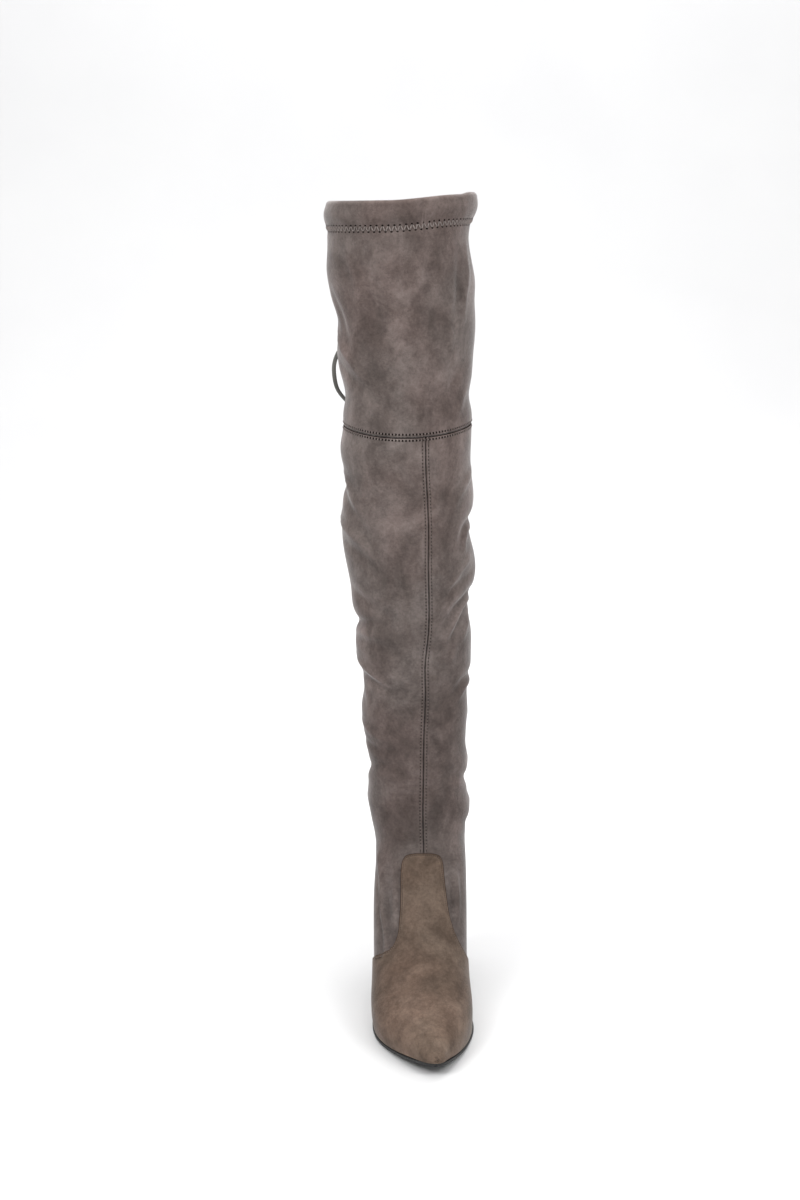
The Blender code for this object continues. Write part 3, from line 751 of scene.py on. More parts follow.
def rubber_finish(name, level, rough):
    make = Nodes(name, rough, Specular_IOR_Level=0.35)
    cloud = make.noise(90, 4.0, 0.6)
    colour = make.greys(cloud, (0.3, level * 0.75), (0.7, level * 1.3))
    dust = make.greys(make.noise(420, 4.0, 0.7), (0.55, 0.0), (0.80, 0.35))
    colour = make.mix(dust, colour, (level * 2.4, level * 2.3, level * 2.2))
    fine = make.noise(900, 2.0, 0.5)
    roughness = make.greys(cloud, (0.3, rough - 0.08), (0.7, rough + 0.1))
    return make.finish(colour, make.bump(fine, 0.00012, 0.4), roughness)


def lining_finish(name, colour):
    make = Nodes(name, 0.85, Sheen_Weight=0.15, Specular_IOR_Level=0.2)
    tone = make.tones(make.noise(45, 3.0, 0.55), colour, (0.3, 0.85), (0.7, 1.1))
    knit = make.tree.nodes.new("ShaderNodeTexVoronoi")
    knit.inputs["Scale"].default_value = 1100
    make.link(make.place, knit.inputs["Vector"])
    return make.finish(tone, make.bump(knit.outputs["Distance"], 0.00015, 0.4))


def thread_finish(name, colour):
    make = Nodes(name, 0.7, Sheen_Weight=0.1)
    twist = make.noise(1400, 2.0, 0.6, 0.0, make.stretched((1, 1, 1), (0.7, 0.7, 0)))
    tone = make.tones(twist, colour, (0.35, 0.7), (0.65, 1.25))
    return make.finish(tone, make.bump(twist, 0.0001, 0.5))


def painted_shade_finish(name, colour):
    """Dark and without any shine: painted shade for needle holes, for seam gaps and along the vamp's
    folded edge.
    """
    make = Nodes(name, 1.0, Specular_IOR_Level=0.0)
    cloud = make.noise(700, 3.0, 0.6)
    tone = make.tones(cloud, colour, (0.3, 0.7), (0.7, 1.4))
    return make.finish(tone, make.bump(cloud, 0.0001, 0.4))


def lace_finish(name, colour):
    make = Nodes(name, 0.8, Sheen_Weight=0.1, Specular_IOR_Level=0.25)
    waves = make.tree.nodes.new("ShaderNodeTexWave")
    waves.inputs["Scale"].default_value = 420
    waves.inputs["Distortion"].default_value = 1.5
    make.link(make.stretched((1, 1, 1), (0.6, 0.4, 0.3)), waves.inputs["Vector"])
    tone = make.tones(waves.outputs["Fac"], colour, (0.2, 0.8), (0.8, 1.15))
    return make.finish(tone, make.bump(waves.outputs["Fac"], 0.0002, 0.4))


def gold_finish(name):
    make = Nodes(name, 0.35, Metallic=0.9)
    cloud = make.noise(500, 3.0, 0.6)
    tone = make.ramp(cloud, (0.3, (0.42, 0.27, 0.07)), (0.7, (0.62, 0.43, 0.14)))
    return make.finish(tone, make.bump(cloud, 0.00005, 0.4))


# ---- stage ---------------------------------------------------------------------------------
def make_camera():
    data = bpy.data.cameras.new("camera")
    data.lens = LENS_MM
    data.sensor_width = 36.0
    data.clip_start = 0.05
    camera = bpy.data.objects.new("camera", data)
    camera.location = CAMERA_AT
    turn = Matrix.Rotation(math.radians(CAMERA_TURN), 3, "Z")
    tilt = Matrix.Rotation(math.radians(90 - CAMERA_PITCH), 3, "X")
    roll = Matrix.Rotation(math.radians(CAMERA_ROLL), 3, "Z")
    camera.rotation_euler = (turn @ tilt @ roll).to_euler()
    bpy.context.scene.collection.objects.link(camera)
    bpy.context.scene.camera = camera


def make_stage():
    """A floor that curves up into a backdrop."""
    half = 6.0
    bend_at = 2.2
    radius = 0.9
    profile = [(-4.0, 0.0), (bend_at, 0.0)]
    for turn in np.linspace(0.1, 1.57, 14):
        profile.append((bend_at + radius * math.sin(turn), radius - radius * math.cos(turn)))
    profile.append((bend_at + radius, 6.0))
    points = [(x, y, z) for y, z in profile for x in (-half, half)]
    mesh = mesh_from("floor", points, grid_faces(len(profile), 2))
    make = Nodes("paper", 0.75, Specular_IOR_Level=0.2)
    cloud = make.noise(3.0, 2.0, 0.5)
    tone = make.ramp(cloud, (0.3, (0.71, 0.71, 0.715)), (0.7, (0.73, 0.73, 0.732)))
    tooth = make.bump(make.noise(600, 2.0, 0.5), 0.0001, 0.15)
    mesh.materials.append(make.finish(tone, tooth))
    mesh.shade_smooth()
    floor = bpy.data.objects.new("floor", mesh)
    bpy.context.scene.collection.objects.link(floor)


def area_light(name, at, target, size, power):
    data = bpy.data.lights.new(name, "AREA")
    data.shape = "RECTANGLE"
    data.size, data.size_y = size
    data.energy = power
    light = bpy.data.objects.new(name, data)
    light.location = at
    aim = Vector(target) - Vector(at)
    light.rotation_euler = aim.to_track_quat("-Z", "Y").to_euler()
    bpy.context.scene.collection.objects.link(light)


def make_lights():
    world = bpy.data.worlds.new("studio")
    world.use_nodes = True
    back = world.node_tree.nodes["Background"]
    back.inputs["Color"].default_value = (1.0, 1.0, 1.0, 1)
    back.inputs["Strength"].default_value = 0.52
    bpy.context.scene.world = world
    bpy.context.scene.view_settings.view_transform = "Standard"
    area_light("key", (-1.5, -1.2, 2.2), (0, 0, 0.30), (1.0, 1.2), 34)
    area_light("fill", (1.6, -1.0, 2.0), (0, 0, 0.30), (1.0, 1.2), 24)
    area_light("rim", (0.5, 1.5, 1.9), (0, 0, 0.35), (1.8, 1.0), 18)
    area_light("overhead", (0.0, -0.3, 2.9), (0, -0.1, 0.0), (2.0, 2.0), 30)
    area_light("sweep", (0.0, 1.2, 2.6), (0, 2.6, 0.9), (3.6, 1.8), 46)


# ---- drawstring ----------------------------------------------------------------------------
LACE_STEP = 0.0024
LACE_T = 0.0013


def route(points, step):
    points = np.array(points)
    length = running_length(points)
    places = np.linspace(0, length[-1], max(16, round(length[-1] / step)))
    return np.column_stack([smooth(length, points[:, i], places) for i in range(3)])


def ribbon(line, width, thickness, twist, around=12):
    """Points and faces of a flat lace along a line, with its edges rounded."""
    run = unit(np.gradient(line, axis=0))
    side = unit(np.cross(run[0], (0.0, 1.0, 0.0)))
    points = []
    turns = np.radians(np.linspace(twist[0], twist[1], len(line)))
    for at, forward, turn in zip(line, run, turns):
        side = unit(side - forward * side.dot(forward))
        up = np.cross(forward, side)
        flat = side * math.cos(turn) + up * math.sin(turn)
        lift = np.cross(forward, flat)
        for angle in np.linspace(0, 2 * math.pi, around, endpoint=False):
            c, s = math.cos(angle), math.sin(angle)
            reach = math.copysign(abs(c) ** 0.7, c) * width / 2
            rise = math.copysign(abs(s) ** 0.8, s) * thickness / 2
            points.append(at + flat * reach + lift * rise)
    faces = grid_faces(len(line), around, wrap=True)
    faces.append(tuple(range(around))[::-1])
    faces.append(tuple(range((len(line) - 1) * around, len(line) * around)))
    return points, faces


def make_lace(name, points, finish, twist):
    line = route(points, LACE_STEP)
    mesh = mesh_from(name, *ribbon(line, CORD_W, LACE_T, twist))
    obj = place(name, mesh, finish, slot="lace")
    return obj


def make_knot(finish):
    """An overhand knot tied in both laces at once: one loop of two strands round the other."""
    points = []
    faces = []
    turns = np.linspace(0, 2 * math.pi, 72)
    for shift in (-0.0011, 0.0011):
        line = np.column_stack(
            [
                0.0029 * (np.sin(turns) + 1.25 * np.sin(2 * turns)) + shift,
                0.0021 * -np.sin(3 * turns) + shift * 0.6,
                0.0031 * (np.cos(turns) - 1.25 * np.cos(2 * turns)) - shift * 0.4,
            ]
        )
        ring, loop = ribbon(line + np.array(KNOT_AT), 0.0030, 0.0017, (0, 40), 10)
        faces += [tuple(len(points) + i for i in face) for face in loop]
        points += list(ring)
    knot = place("lace_knot", mesh_from("lace_knot", points, faces), finish, slot="lace")
    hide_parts("drawstring_knot")
    return knot


def make_cords(finish):
    knot = make_knot(finish)
    parts = (
        ("lace_run_lateral", RUN_LATERAL, "knot", (60, 150), [], "drawstring_run_lateral"),
        ("lace_run_medial", RUN_MEDIAL, "knot", (70, 10), [knot], "drawstring_run_medial"),
        ("lace_tail_lateral", TAIL_LATERAL, "bare", (20, 80), [], "drawstring_tail_lateral"),
        ("lace_tail_medial", TAIL_MEDIAL, "bare", (90, 30), [], "drawstring_tail_medial"),
    )
    for name, points, far_end, twist, with_pieces, node in parts:
        lace = make_lace(name, points, finish, twist)
        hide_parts(node)


# ---- leg, with its folds -------------------------------------------------------------------
def seam_across(share):
    """Where the front seam crosses a section, as its place across."""
    _, z, _, medial, ridge_x, _ = [float(line(share)) for line in SECTION_LINES]
    rows = np.array(FRONT_SEAM)
    x = float(smooth(rows[:, 0], rows[:, 1], z))
    return math.asin(max(-1, min(1, (x - ridge_x) / (medial - ridge_x)))) / math.pi


def leg_columns(count, extras):
    """Places across, closest at the front seam (0) and at the back seam (-1 and 1)."""
    even = np.linspace(-1, 1, count)
    even = even - 0.30 * np.sin(2 * math.pi * even) / (2 * math.pi)
    near = np.concatenate([extras, -np.array(extras), 1 - np.array(extras), np.array(extras) - 1])
    near = np.array(sorted(set(np.round(near, 5)) - {0.0}))
    clear = [place for place in even if np.abs(near - place).min() > 0.004 or abs(place) in (0, 1)]
    return np.array(sorted(set([*clear, *near, -1.0, 0.0, 1.0])))


def follow_seam(columns, share):
    """Shifts the columns so that the one at 0 lies on the front seam."""
    shift = seam_across(share) if share > 0.75 else 0.0
    shift *= float(ease(share, 0.75, 0.85))
    return columns + shift * (1 - np.abs(columns))


def leg_point(degrees, z):
    """The point of the leg at this angle round and height."""
    low, high = 0.4, TOP_SHARE
    for _ in range(24):
        middle = (low + high) / 2
        if section(middle, [degrees / 180])[0][2] < z:
            low = middle
        else:
            high = middle
    return section((low + high) / 2, [degrees / 180])[0]


def fold_lift(points):
    """How far the folds push each point of the leg out, in metres."""
    lift = np.zeros(len(points))
    for height, half, line in FOLDS:
        knots = np.array([leg_point(degrees, up / 1000) for degrees, up in line])
        length = running_length(knots)
        places = np.linspace(0, length[-1], max(6, int(length[-1] / 0.003)))
        path = points_along(knots, length, places)
        half = half / 1000
        reach = half * 3.2
        box = (path.min(axis=0) - reach, path.max(axis=0) + reach)
        near = np.where(((points > box[0]) & (points < box[1])).all(axis=1))[0]
        if not len(near):
            continue
        away = np.linalg.norm(points[near][:, None] - path[None], axis=2)
        best = away.argmin(axis=1)
        distance = away[np.arange(len(near)), best]
        along = places[best] / length[-1]
        taper = np.sin(math.pi * np.clip(0.12 + 0.76 * along, 0, 1)) ** 0.8
        lift[near] += hump(distance, height / 1000 * taper, 0.0, half)
    return lift


def side_lift(points, degrees):
    rows = np.array(SIDE_SWELL)
    lateral = smooth(rows[:, 0], rows[:, 1], points[:, 2])
    medial = smooth(rows[:, 0], rows[:, 2], points[:, 2])
    weight = hump(np.abs(degrees), 1.0, 88, 40)
    fade = ease(points[:, 2], 0.100, 0.112)
    return np.where(degrees < 0, lateral, medial) / 1000 * weight * fade


def seam_lift(distance):
    """A seam's groove, a padded band on both sides of it, and a dip under each stitch row."""
    groove = hump(distance, -0.0015, 0.0, 0.00070)
    band = hump(distance, 0.00042, 0.0013, 0.0007)
    dip = hump(distance, -0.00070, SEAM_STITCH_OFF, 0.00055)
    return groove + band + dip


def tilt_rim(grid):
    """The top edge's medial side stands a little higher than its lateral side."""
    near_top = ease(grid[..., 2], 0.575, 0.622)
    grid[..., 2] += RIM_LIFT * near_top * ease(grid[..., 0], -0.022, 0.036)
    grid[..., 2] += RIM_LOBE * ease(grid[..., 2], 0.630, 0.645) * ease(grid[..., 0], 0.034, 0.041)


def leg_grid(shares, columns):
    """The leg's smooth grid, its normals, and the lift of its folds and seams."""
    rows = []
    across = []
    for share in shares:
        place = follow_seam(columns, share)
        across.append(place)
        rows.append(section(float(share), place))
    grid = np.array(rows)
    across = np.array(across)
    normal = grid_normals(grid)
    flat = grid.reshape(-1, 3)
    lift = fold_lift(flat) + side_lift(flat, across.reshape(-1) * 180)
    # columns keep their order round the leg, so their arc from the seam is a running length
    step = np.linalg.norm(np.diff(grid, axis=1), axis=2)
    arc = np.concatenate([np.zeros((len(grid), 1)), np.cumsum(step, axis=1)], axis=1)
    middle = arc[:, [int(np.argmin(np.abs(columns)))]]
    on_leg = np.array(shares)[:, None]
    front = seam_lift(np.abs(arc - middle)) * ease(on_leg, 0.77, 0.79)
    back = seam_lift(np.minimum(arc, arc[:, -1:] - arc)) * ease(on_leg, 1.0, 1.03)
    if shares[0] >= KNEE_SHARE:
        front = np.zeros_like(front)
    calm = 1 - hump(np.abs(arc - middle), 0.6, 0.0, 0.006)
    lift = lift.reshape(across.shape) * np.where(on_leg > 1.0, calm, 1.0) + front + back
    lift[:, 0] = lift[:, -1] = (lift[:, 0] + lift[:, -1]) / 2
    return grid, normal, lift


def edge_turn(distance, depth=0.0014, reach=0.0019):
    """Lift of a panel's edge that is turned under: nothing inside, down by depth at the end."""
    part = np.clip(1 - distance / reach, 0, 1)
    return -depth * (1 - np.sqrt(1 - part**2 * 0.98))


# lift of the hem, how far below the rim, and half-width
HEM_PADDING = (0.0017, 0.0095, 0.0068)
HEM_GROOVE = (-0.0008, 0.0218, 0.0034)
# the hem's inner leaf: how far below the rim, and how far in from the outside
HEM_INSIDE = ((0.004, 0.0072), (0.008, 0.0074), (0.012, 0.0068), (0.0155, 0.0052), (0.0178, 0.0036))
SEAM_COLUMNS = (0.0018, 0.0036, 0.0055, 0.0075, 0.0100, 0.0130, 0.0160, 0.0190, 0.0230)


def make_leg(suede, lining):
    """The upper: toe under the vamp, quarters and shaft, up to the knee seam."""
    columns = leg_columns(114, SEAM_COLUMNS)
    foot = np.linspace(0.02, 1.0, 44)
    top = np.array([0.0002, 0.0006, 0.0010, 0.0016, 0.0024])
    per_metre = (KNEE_SHARE - 2.60) / (KNEE_SEAM_Z - 0.4200)
    shaft = np.linspace(1.015, KNEE_SHARE - 0.0034 * per_metre, 220)
    shares = np.array([*foot, *shaft, *(KNEE_SHARE - top[::-1] * per_metre), KNEE_SHARE])
    grid, normal, lift = leg_grid(shares, columns)
    lift += edge_turn((KNEE_SHARE - shares[:, None]) / per_metre)
    guide = tree_of(grid)
    normal[:, 0] = normal[:, -1] = (0, 1, 0)
    grid = grid + normal * lift[:, :, None]
    grid[:, -1][shares > 1.0] = grid[:, 0][shares > 1.0]
    faces = grid_faces(*grid.shape[:2]) + closing_faces(grid.shape[1])
    mesh = mesh_from("upper_leg", grid.reshape(-1, 3), faces)
    obj = place("upper_leg", mesh, suede, lining, slot="suede")
    merge_ends(obj.data)
    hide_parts("upper")
    return obj, guide


def make_thigh(suede, lining):
    """The thigh panel, with its top turned in as a padded drawstring channel."""
    columns = leg_columns(150, SEAM_COLUMNS)
    per_metre = (TOP_SHARE - KNEE_SHARE) / (BOOT_HEIGHT - KNEE_SEAM_Z)
    start = np.array([0.0003, 0.0007, 0.0012, 0.0018, 0.0026])
    roll = 0.0036
    heights = [*start, *np.linspace(0.0036, BOOT_HEIGHT - KNEE_SEAM_Z - roll, 120)]
    shares = [KNEE_SHARE + height * per_metre for height in heights]
    grid, normal, lift = leg_grid(shares, columns)
    lift += edge_turn(np.array(heights)[:, None] - start[0])
    down = BOOT_HEIGHT - grid[:, :, 2]
    turn = np.linspace(0, 2 * math.pi, grid.shape[1])[None]
    pucker = np.sin(turn * 17) + 0.7 * np.sin(turn * 29 + 1.0)
    lift += hump(down, *HEM_PADDING)
    lift += hump(down, *HEM_GROOVE)
    lift += hump(down, 0.0003 * pucker, 0.0165, 0.0050)
    guide = grid.copy()
    tilt_rim(guide)
    guide = tree_of(guide)
    grid = grid + normal * lift[:, :, None]
    rim = grid[-1]
    centre = rim.mean(axis=0)
    inward = centre - rim
    inward[:, 2] = 0
    inward = unit(inward)
    rows = list(grid)
    for turn in np.radians((20, 40, 60, 80, 100, 125, 150, 180)):
        moved = rim + inward * roll * (1 - math.cos(turn))
        moved[:, 2] = rim[:, 2] + roll * math.sin(turn)
        rows.append(moved)
    for down_by, away in HEM_INSIDE:
        level = rim[:, 2] - down_by
        moved = [points_along(grid[:, j], grid[:, j, 2], [z])[0] for j, z in enumerate(level)]
        rows.append(np.array(moved) + inward * away)
    grid = np.array(rows)
    tilt_rim(grid)
    grid[:, -1] = grid[:, 0]
    mesh = mesh_from("thigh_leather", grid.reshape(-1, 3), grid_faces(*grid.shape[:2]))
    obj = place("thigh_leather", mesh, suede, lining, slot="suede")
    merge_ends(obj.data)
    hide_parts("thigh_panel")
    return obj, guide, rim


def cut_back_notch(obj, rim):
    """A wedge out of the hem at the back of the leg, where the laces come out."""
    back = rim[int(np.argmax(rim[:, 1]))]
    low = BOOT_HEIGHT - HEM_DEPTH
    outline = (
        (-0.0030, low + 0.001),
        (0.0, low - 0.0005),
        (0.0030, low + 0.001),
        (0.0052, low + 0.006),
        (0.0085, BOOT_HEIGHT + 0.02),
        (-0.0085, BOOT_HEIGHT + 0.02),
        (-0.0052, low + 0.006),
    )
    points = [(back[0] + x, back[1] + y, z) for y in (-0.03, 0.03) for x, z in outline]
    count = len(outline)
    faces = [tuple(range(count)), tuple(range(2 * count - 1, count - 1, -1))]
    faces += [(i, i + count, (i + 1) % count + count, (i + 1) % count) for i in range(count)]
    mesh = mesh_from("notch_cutter", points, faces)
    face_outwards(mesh)
    cutter = bpy.data.objects.new("notch_cutter", mesh)
    bpy.context.scene.collection.objects.link(cutter)
    notch = obj.modifiers.new("notch", "BOOLEAN")
    notch.operation = "DIFFERENCE"
    notch.solver = "MANIFOLD"
    notch.object = cutter
    apply_modifiers(obj)
    bpy.data.objects.remove(cutter)


def apply_modifiers(obj):
    graph = bpy.context.evaluated_depsgraph_get()
    made = bpy.data.meshes.new_from_object(obj.evaluated_get(graph))
    obj.modifiers.clear()
    obj.data = made
    obj.data.shade_smooth()


# ---- vamp ----------------------------------------------------------------------------------
def frame_at(across, share):
    """A point of the foot, its outward normal, and its steps across and along."""
    before, point, after = section(share, [across - 1e-3, across, across + 1e-3])
    ahead = section(share + 1e-3, [across])[0]
    aside = (after - before) / 2e-3
    along = (ahead - point) / 1e-3
    normal = np.cross(aside, along)
    return point, normal / np.linalg.norm(normal), aside, along


def vamp_border():
    """The vamp's outline as (across, share) from toe to toe, and the ridge point facing each."""
    steps = np.linspace(0, 1, 96)
    steps = steps + 0.05 * np.sin(math.pi * steps)
    foot = np.linspace(0.022, 1, 48)
    knots, *lines = np.array(VAMP_EDGE).T
    *edges, ridge = [smooth(knots, line, steps) for line in lines]
    facing = np.concatenate([ridge, VAMP_FOOT_RIDGE + (0.010 - VAMP_FOOT_RIDGE) * foot])
    halves = []
    for side, across, share in ((-1, *edges[:2]), (1, *edges[2:])):
        across = np.concatenate([across, np.full(len(foot), VAMP_FOOT_ACROSS)])
        share = np.concatenate([share, VAMP_FOOT_SHARE + (0.012 - VAMP_FOOT_SHARE) * foot])
        halves.append(np.column_stack([side * across, share]))
    border = np.concatenate([halves[0][:0:-1], halves[1]])
    facing = np.concatenate([facing[:0:-1], facing])
    return border, facing, np.arange(len(foot), len(border) - len(foot))


def moved_in(border, rear):
    """How far the outline's points move, in (across, share), for each metre inwards. Along the
    sole they turn from forwards, beside the rear edge, to upwards."""
    frames = [frame_at(*spot) for spot in border]
    point, normal, aside, along = (np.array([frame[i] for frame in frames]) for i in range(4))
    step = unit(np.diff(point, axis=0))
    run = np.concatenate([step[:1], step[1:] + step[:-1], step[-1:]])
    inward = unit(np.cross(run, normal))
    index = np.arange(len(border))
    past = np.maximum(rear[0] - index, index - rear[-1])[:, None]
    forward = -unit(along)
    turn = np.where(past < 0, 1.0, ease(past, 0, 10))
    inward = unit(forward * (1 - turn) + inward * turn)
    moves = []
    for i in range(len(border)):
        steps = np.column_stack([aside[i], along[i]])
        moves.append(np.linalg.lstsq(steps, inward[i], rcond=None)[0])
    return np.array(moves)


# the rings of points that follow the vamp's outline, by how far inside it they lie
VAMP_RINGS = (
    0.0030, 0.0025, 0.0021, VAMP_STITCH_IN, 0.0014, 0.0011, 0.0008, 0.00055, 0.0003, 0.00012, 0.0
)


def make_vamp(nubuck, edge_shade):
    """The nubuck panel over toe and instep, its rear edge folded under."""
    border, facing, rear = vamp_border()
    moves = moved_in(border, rear)
    ridge = np.column_stack([np.zeros(len(border)), facing])
    start = border + moves * VAMP_RINGS[0]
    spots = [ridge + (start - ridge) * part for part in np.linspace(0, 1, 36)[:-1]]
    spots += [border + moves * inside for inside in VAMP_RINGS]
    rows = [[frame_at(*spot)[:2] for spot in row] for row in spots]
    grid = np.array([[pair[0] for pair in row] for row in rows])
    normal = np.array([[pair[1] for pair in row] for row in rows])
    rim = grid[-1][rear]
    fine = even_path(rim, 0.0006)
    gap = np.array([np.linalg.norm(row[:, None] - fine[None], axis=2).min(axis=1) for row in grid])
    lift = fold_lift(grid.reshape(-1, 3)).reshape(gap.shape)
    dip = hump(gap, -0.00045, VAMP_STITCH_IN, 0.0005)
    lift += 0.0013 + edge_turn(gap, 0.0013, 0.0011) + dip
    guide = tree_of(grid)
    points = grid + normal * lift[:, :, None]
    height, width = gap.shape
    faces = grid_faces(height, width)
    for i in range(0, (height - 1) * width, width):
        faces.append((i, i + width, i + 2 * width - 1, i + width - 1))
    mesh = mesh_from("vamp_panel", points.reshape(-1, 3), faces)
    obj = place("vamp_panel", mesh, nubuck, edge_shade, slot="nubuck")
    # the faces at the folded edge take the dark second finish: painted shade along the vamp's edge
    near = gap.reshape(-1)
    for face in mesh.polygons:
        if max(near[i] for i in face.vertices) < 0.0009:
            face.material_index = 1
    merge_ends(obj.data)
    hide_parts("vamp")
    return obj, guide, grid[VAMP_RINGS.index(VAMP_STITCH_IN) - len(VAMP_RINGS)][rear]


# ---- stitches ------------------------------------------------------------------------------
DROP = 0.012  # how far off the guide a stitch path is dropped from


def along_surface(path, tree, guide):
    """The path dropped onto the surface along the smooth guide's normals."""
    spots = []
    normals = []
    for point in path:
        smooth_normal = guide.find_nearest(Vector(point))[1]
        start = Vector(point) + smooth_normal * DROP
        hit = tree.ray_cast(start, -smooth_normal, 2 * DROP)
        if hit[0] is None:
            hit = tree.find_nearest(Vector(point))
        normal = (hit[1] + smooth_normal).normalized()
        spots.append(np.array(hit[0]))
        normals.append(np.array(normal))
    return np.array(spots), np.array(normals)


def even_path(path, pitch):
    path = np.asarray(path, float)
    length = running_length(path)
    return points_along(path, length, np.arange(pitch / 2, length[-1], pitch))


def offset_path(path, guide, off):
    """The path moved sideways over the smooth guide."""
    path = np.asarray(path, float)
    normals = np.array([guide.find_nearest(Vector(point))[1] for point in path])
    return path + unit(np.cross(np.gradient(path, axis=0), normals)) * off


# along a stitch: part of its length, rise, width; then round it: part across, rise
STITCH_ARCH = ((0, -0.5, 0.55), (0.22, 0.75, 1.0), (0.5, 1.0, 1.0), (0.78, 0.75, 1.0), (1, -0.5, 0.55))
STITCH_ROUND = ((-1.0, -0.35), (-0.62, 0.45), (0.0, 0.8), (0.62, 0.45), (1.0, -0.35))


def stitch_shape(a, b, normal, width, height):
    """One stitch from a to b: a low arch, rounded on top and sunk at both ends."""
    run = b - a
    side = unit(np.cross(run, normal)) * width / 2
    points = []
    for part, rise, wide in STITCH_ARCH:
        base = a + run * part
        for across, up in STITCH_ROUND:
            lift = (rise + up) / 2 * height
            points.append(base + side * across * wide + normal * lift)
    faces = grid_faces(5, 5)
    faces += [(4, 9, 14, 19, 24, 20, 15, 10, 5, 0), (0, 1, 2, 3, 4), (24, 23, 22, 21, 20)]
    return points, faces


def make_stitches(name, runs, finish, width, height, fill):
    """A joined mesh of stitches: each run is (points, normals, closed pairs)."""
    points = []
    faces = []
    for spots, normals, pairs in runs:
        for i, j in pairs:
            run = spots[j] - spots[i]
            middle = (spots[i] + spots[j]) / 2
            a = middle - run * fill / 2
            b = middle + run * fill / 2
            made, loops = stitch_shape(a, b, normals[i], width, height)
            faces += [tuple(len(points) + k for k in loop) for loop in loops]
            points += made
    place(name, mesh_from(name, points, faces), finish)


def straight_run(path, surface, off, pitch=STITCH_PITCH):
    tree, guide = surface
    spots, normals = along_surface(even_path(offset_path(path, guide, off), pitch), tree, guide)
    return spots, normals, [(i, i + 1) for i in range(len(spots) - 1)]


def zigzag_run(path, surface, half, pitch):
    tree, guide = surface
    middle = even_path(path, pitch)
    mixed = offset_path(middle, guide, half)
    mixed[1::2] = offset_path(middle, guide, -half)[1::2]
    spots, normals = along_surface(mixed, tree, guide)
    return spots, normals, [(i, i + 1) for i in range(len(spots) - 1)]


def make_holes(name, runs, finish, radius):
    """Needle holes between stitches, as small discs sunk into the nap, dark with painted shade."""
    points = []
    faces = []
    for spots, normals, _ in runs:
        for spot, normal in zip(spots, normals):
            side = unit(np.cross(normal, (0.3, 0.2, 0.9)))
            other = np.cross(normal, side)
            start = len(points)
            points.append(spot + normal * 0.00016)
            for turn in np.linspace(0, 5.236, 6):
                reach = side * math.cos(turn) + other * math.sin(turn)
                points.append(spot + reach * radius - normal * 0.00004)
            points.append(spot - normal * 0.0004)
            for i in range(6):
                j = (i + 1) % 6
                faces.append((start, start + 1 + i, start + 1 + j))
                faces.append((start + 7, start + 1 + j, start + 1 + i))
    place(name, mesh_from(name, points, faces), finish)


def make_seam_gap_shade(runs, finish):
    """A dark strip at the bottom of a seam's groove, painted shade for the gap where two panels meet.
    """
    points = []
    faces = []
    for path, surface in runs:
        spots, normals = along_surface(even_path(path, 0.0012), *surface)
        side = unit(np.cross(np.gradient(spots, axis=0), normals)) * SEAM_GAP / 2
        above = spots + normals * 0.0001
        below = spots - normals * 0.0003
        rows = np.stack([above - side, above + side, below], axis=1)
        first = len(points)
        last = len(spots) * 3 - 3
        made = grid_faces(len(spots), 3, wrap=True) + [(2, 1, 0), (last, last + 1, last + 2)]
        faces += [tuple(first + i for i in face) for face in made]
        points += list(rows.reshape(-1, 3))
    place("seam_gap_shade", mesh_from("seam_gap_shade", points, faces), finish)


# ---- sole, heel and insole -----------------------------------------------------------------
def ring_tube(name, rings, finish, slot_name, sharp):
    """A closed body through rings of points, with edges over sharp degrees left hard."""
    rings = np.array(rings)
    count = rings.shape[1]
    faces = grid_faces(len(rings), count, wrap=True)
    last = (len(rings) - 1) * count
    faces += [tuple(range(count))[::-1], tuple(range(last, last + count))]
    mesh = mesh_from(name, rings.reshape(-1, 3), faces)
    face_outwards(mesh)
    obj = place(name, mesh, finish, slot=slot_name)
    mesh.set_sharp_from_angle(angle=math.radians(sharp))
    return obj


def make_outsole(rubber):
    """A plate with rounded edges, as rings round it from the toe back to the heel breast."""
    last = float(share_of(BREAST_Y + 2 * GAP))
    rings = []
    for share in np.linspace(0.012, last, 96):
        y = float(sole_y(share))
        lateral, medial = (float(x) for x in sole_edges(share))
        lateral, medial = lateral - 0.0007, medial + 0.0007
        steep = float(steepness(y))
        low = float(underside(y)) + 0.0005 * steep
        high = float(underside(y)) + OUTSOLE_T * steep
        round_by = min(0.0010, (medial - lateral) * 0.2)
        middle = np.linspace(medial - round_by, lateral + round_by, 14)
        corner = [(round_by * (1 - a), low + round_by * (1 - b)) for a, b in ((0.7, 0.7), (0.3, 0.95))]
        ring = [(x, y, high) for x in middle]
        ring += [(lateral, y, high - 0.0004), (lateral, y, low + round_by)]
        ring += [(lateral + x, y, z) for x, z in corner]
        ring += [(x, y, low) for x in middle[::-1]]
        ring += [(medial - x, y, z) for x, z in corner[::-1]]
        ring += [(medial, y, low + round_by), (medial, y, high - 0.0004)]
        rings.append(ring)
    obj = ring_tube("outsole_plate", rings, rubber, "rubber", 60)
    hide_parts("outsole")


TREAD_PROFILE = ((-0.00085, 0.0006), (-0.0006, 0.0), (0.0006, 0.0), (0.00085, 0.0006))
BAR_LENGTH = 0.0052
BAR_PITCH = 0.0062
TREAD_END_Y = -0.104  # the tread's rear end is a bow that starts here


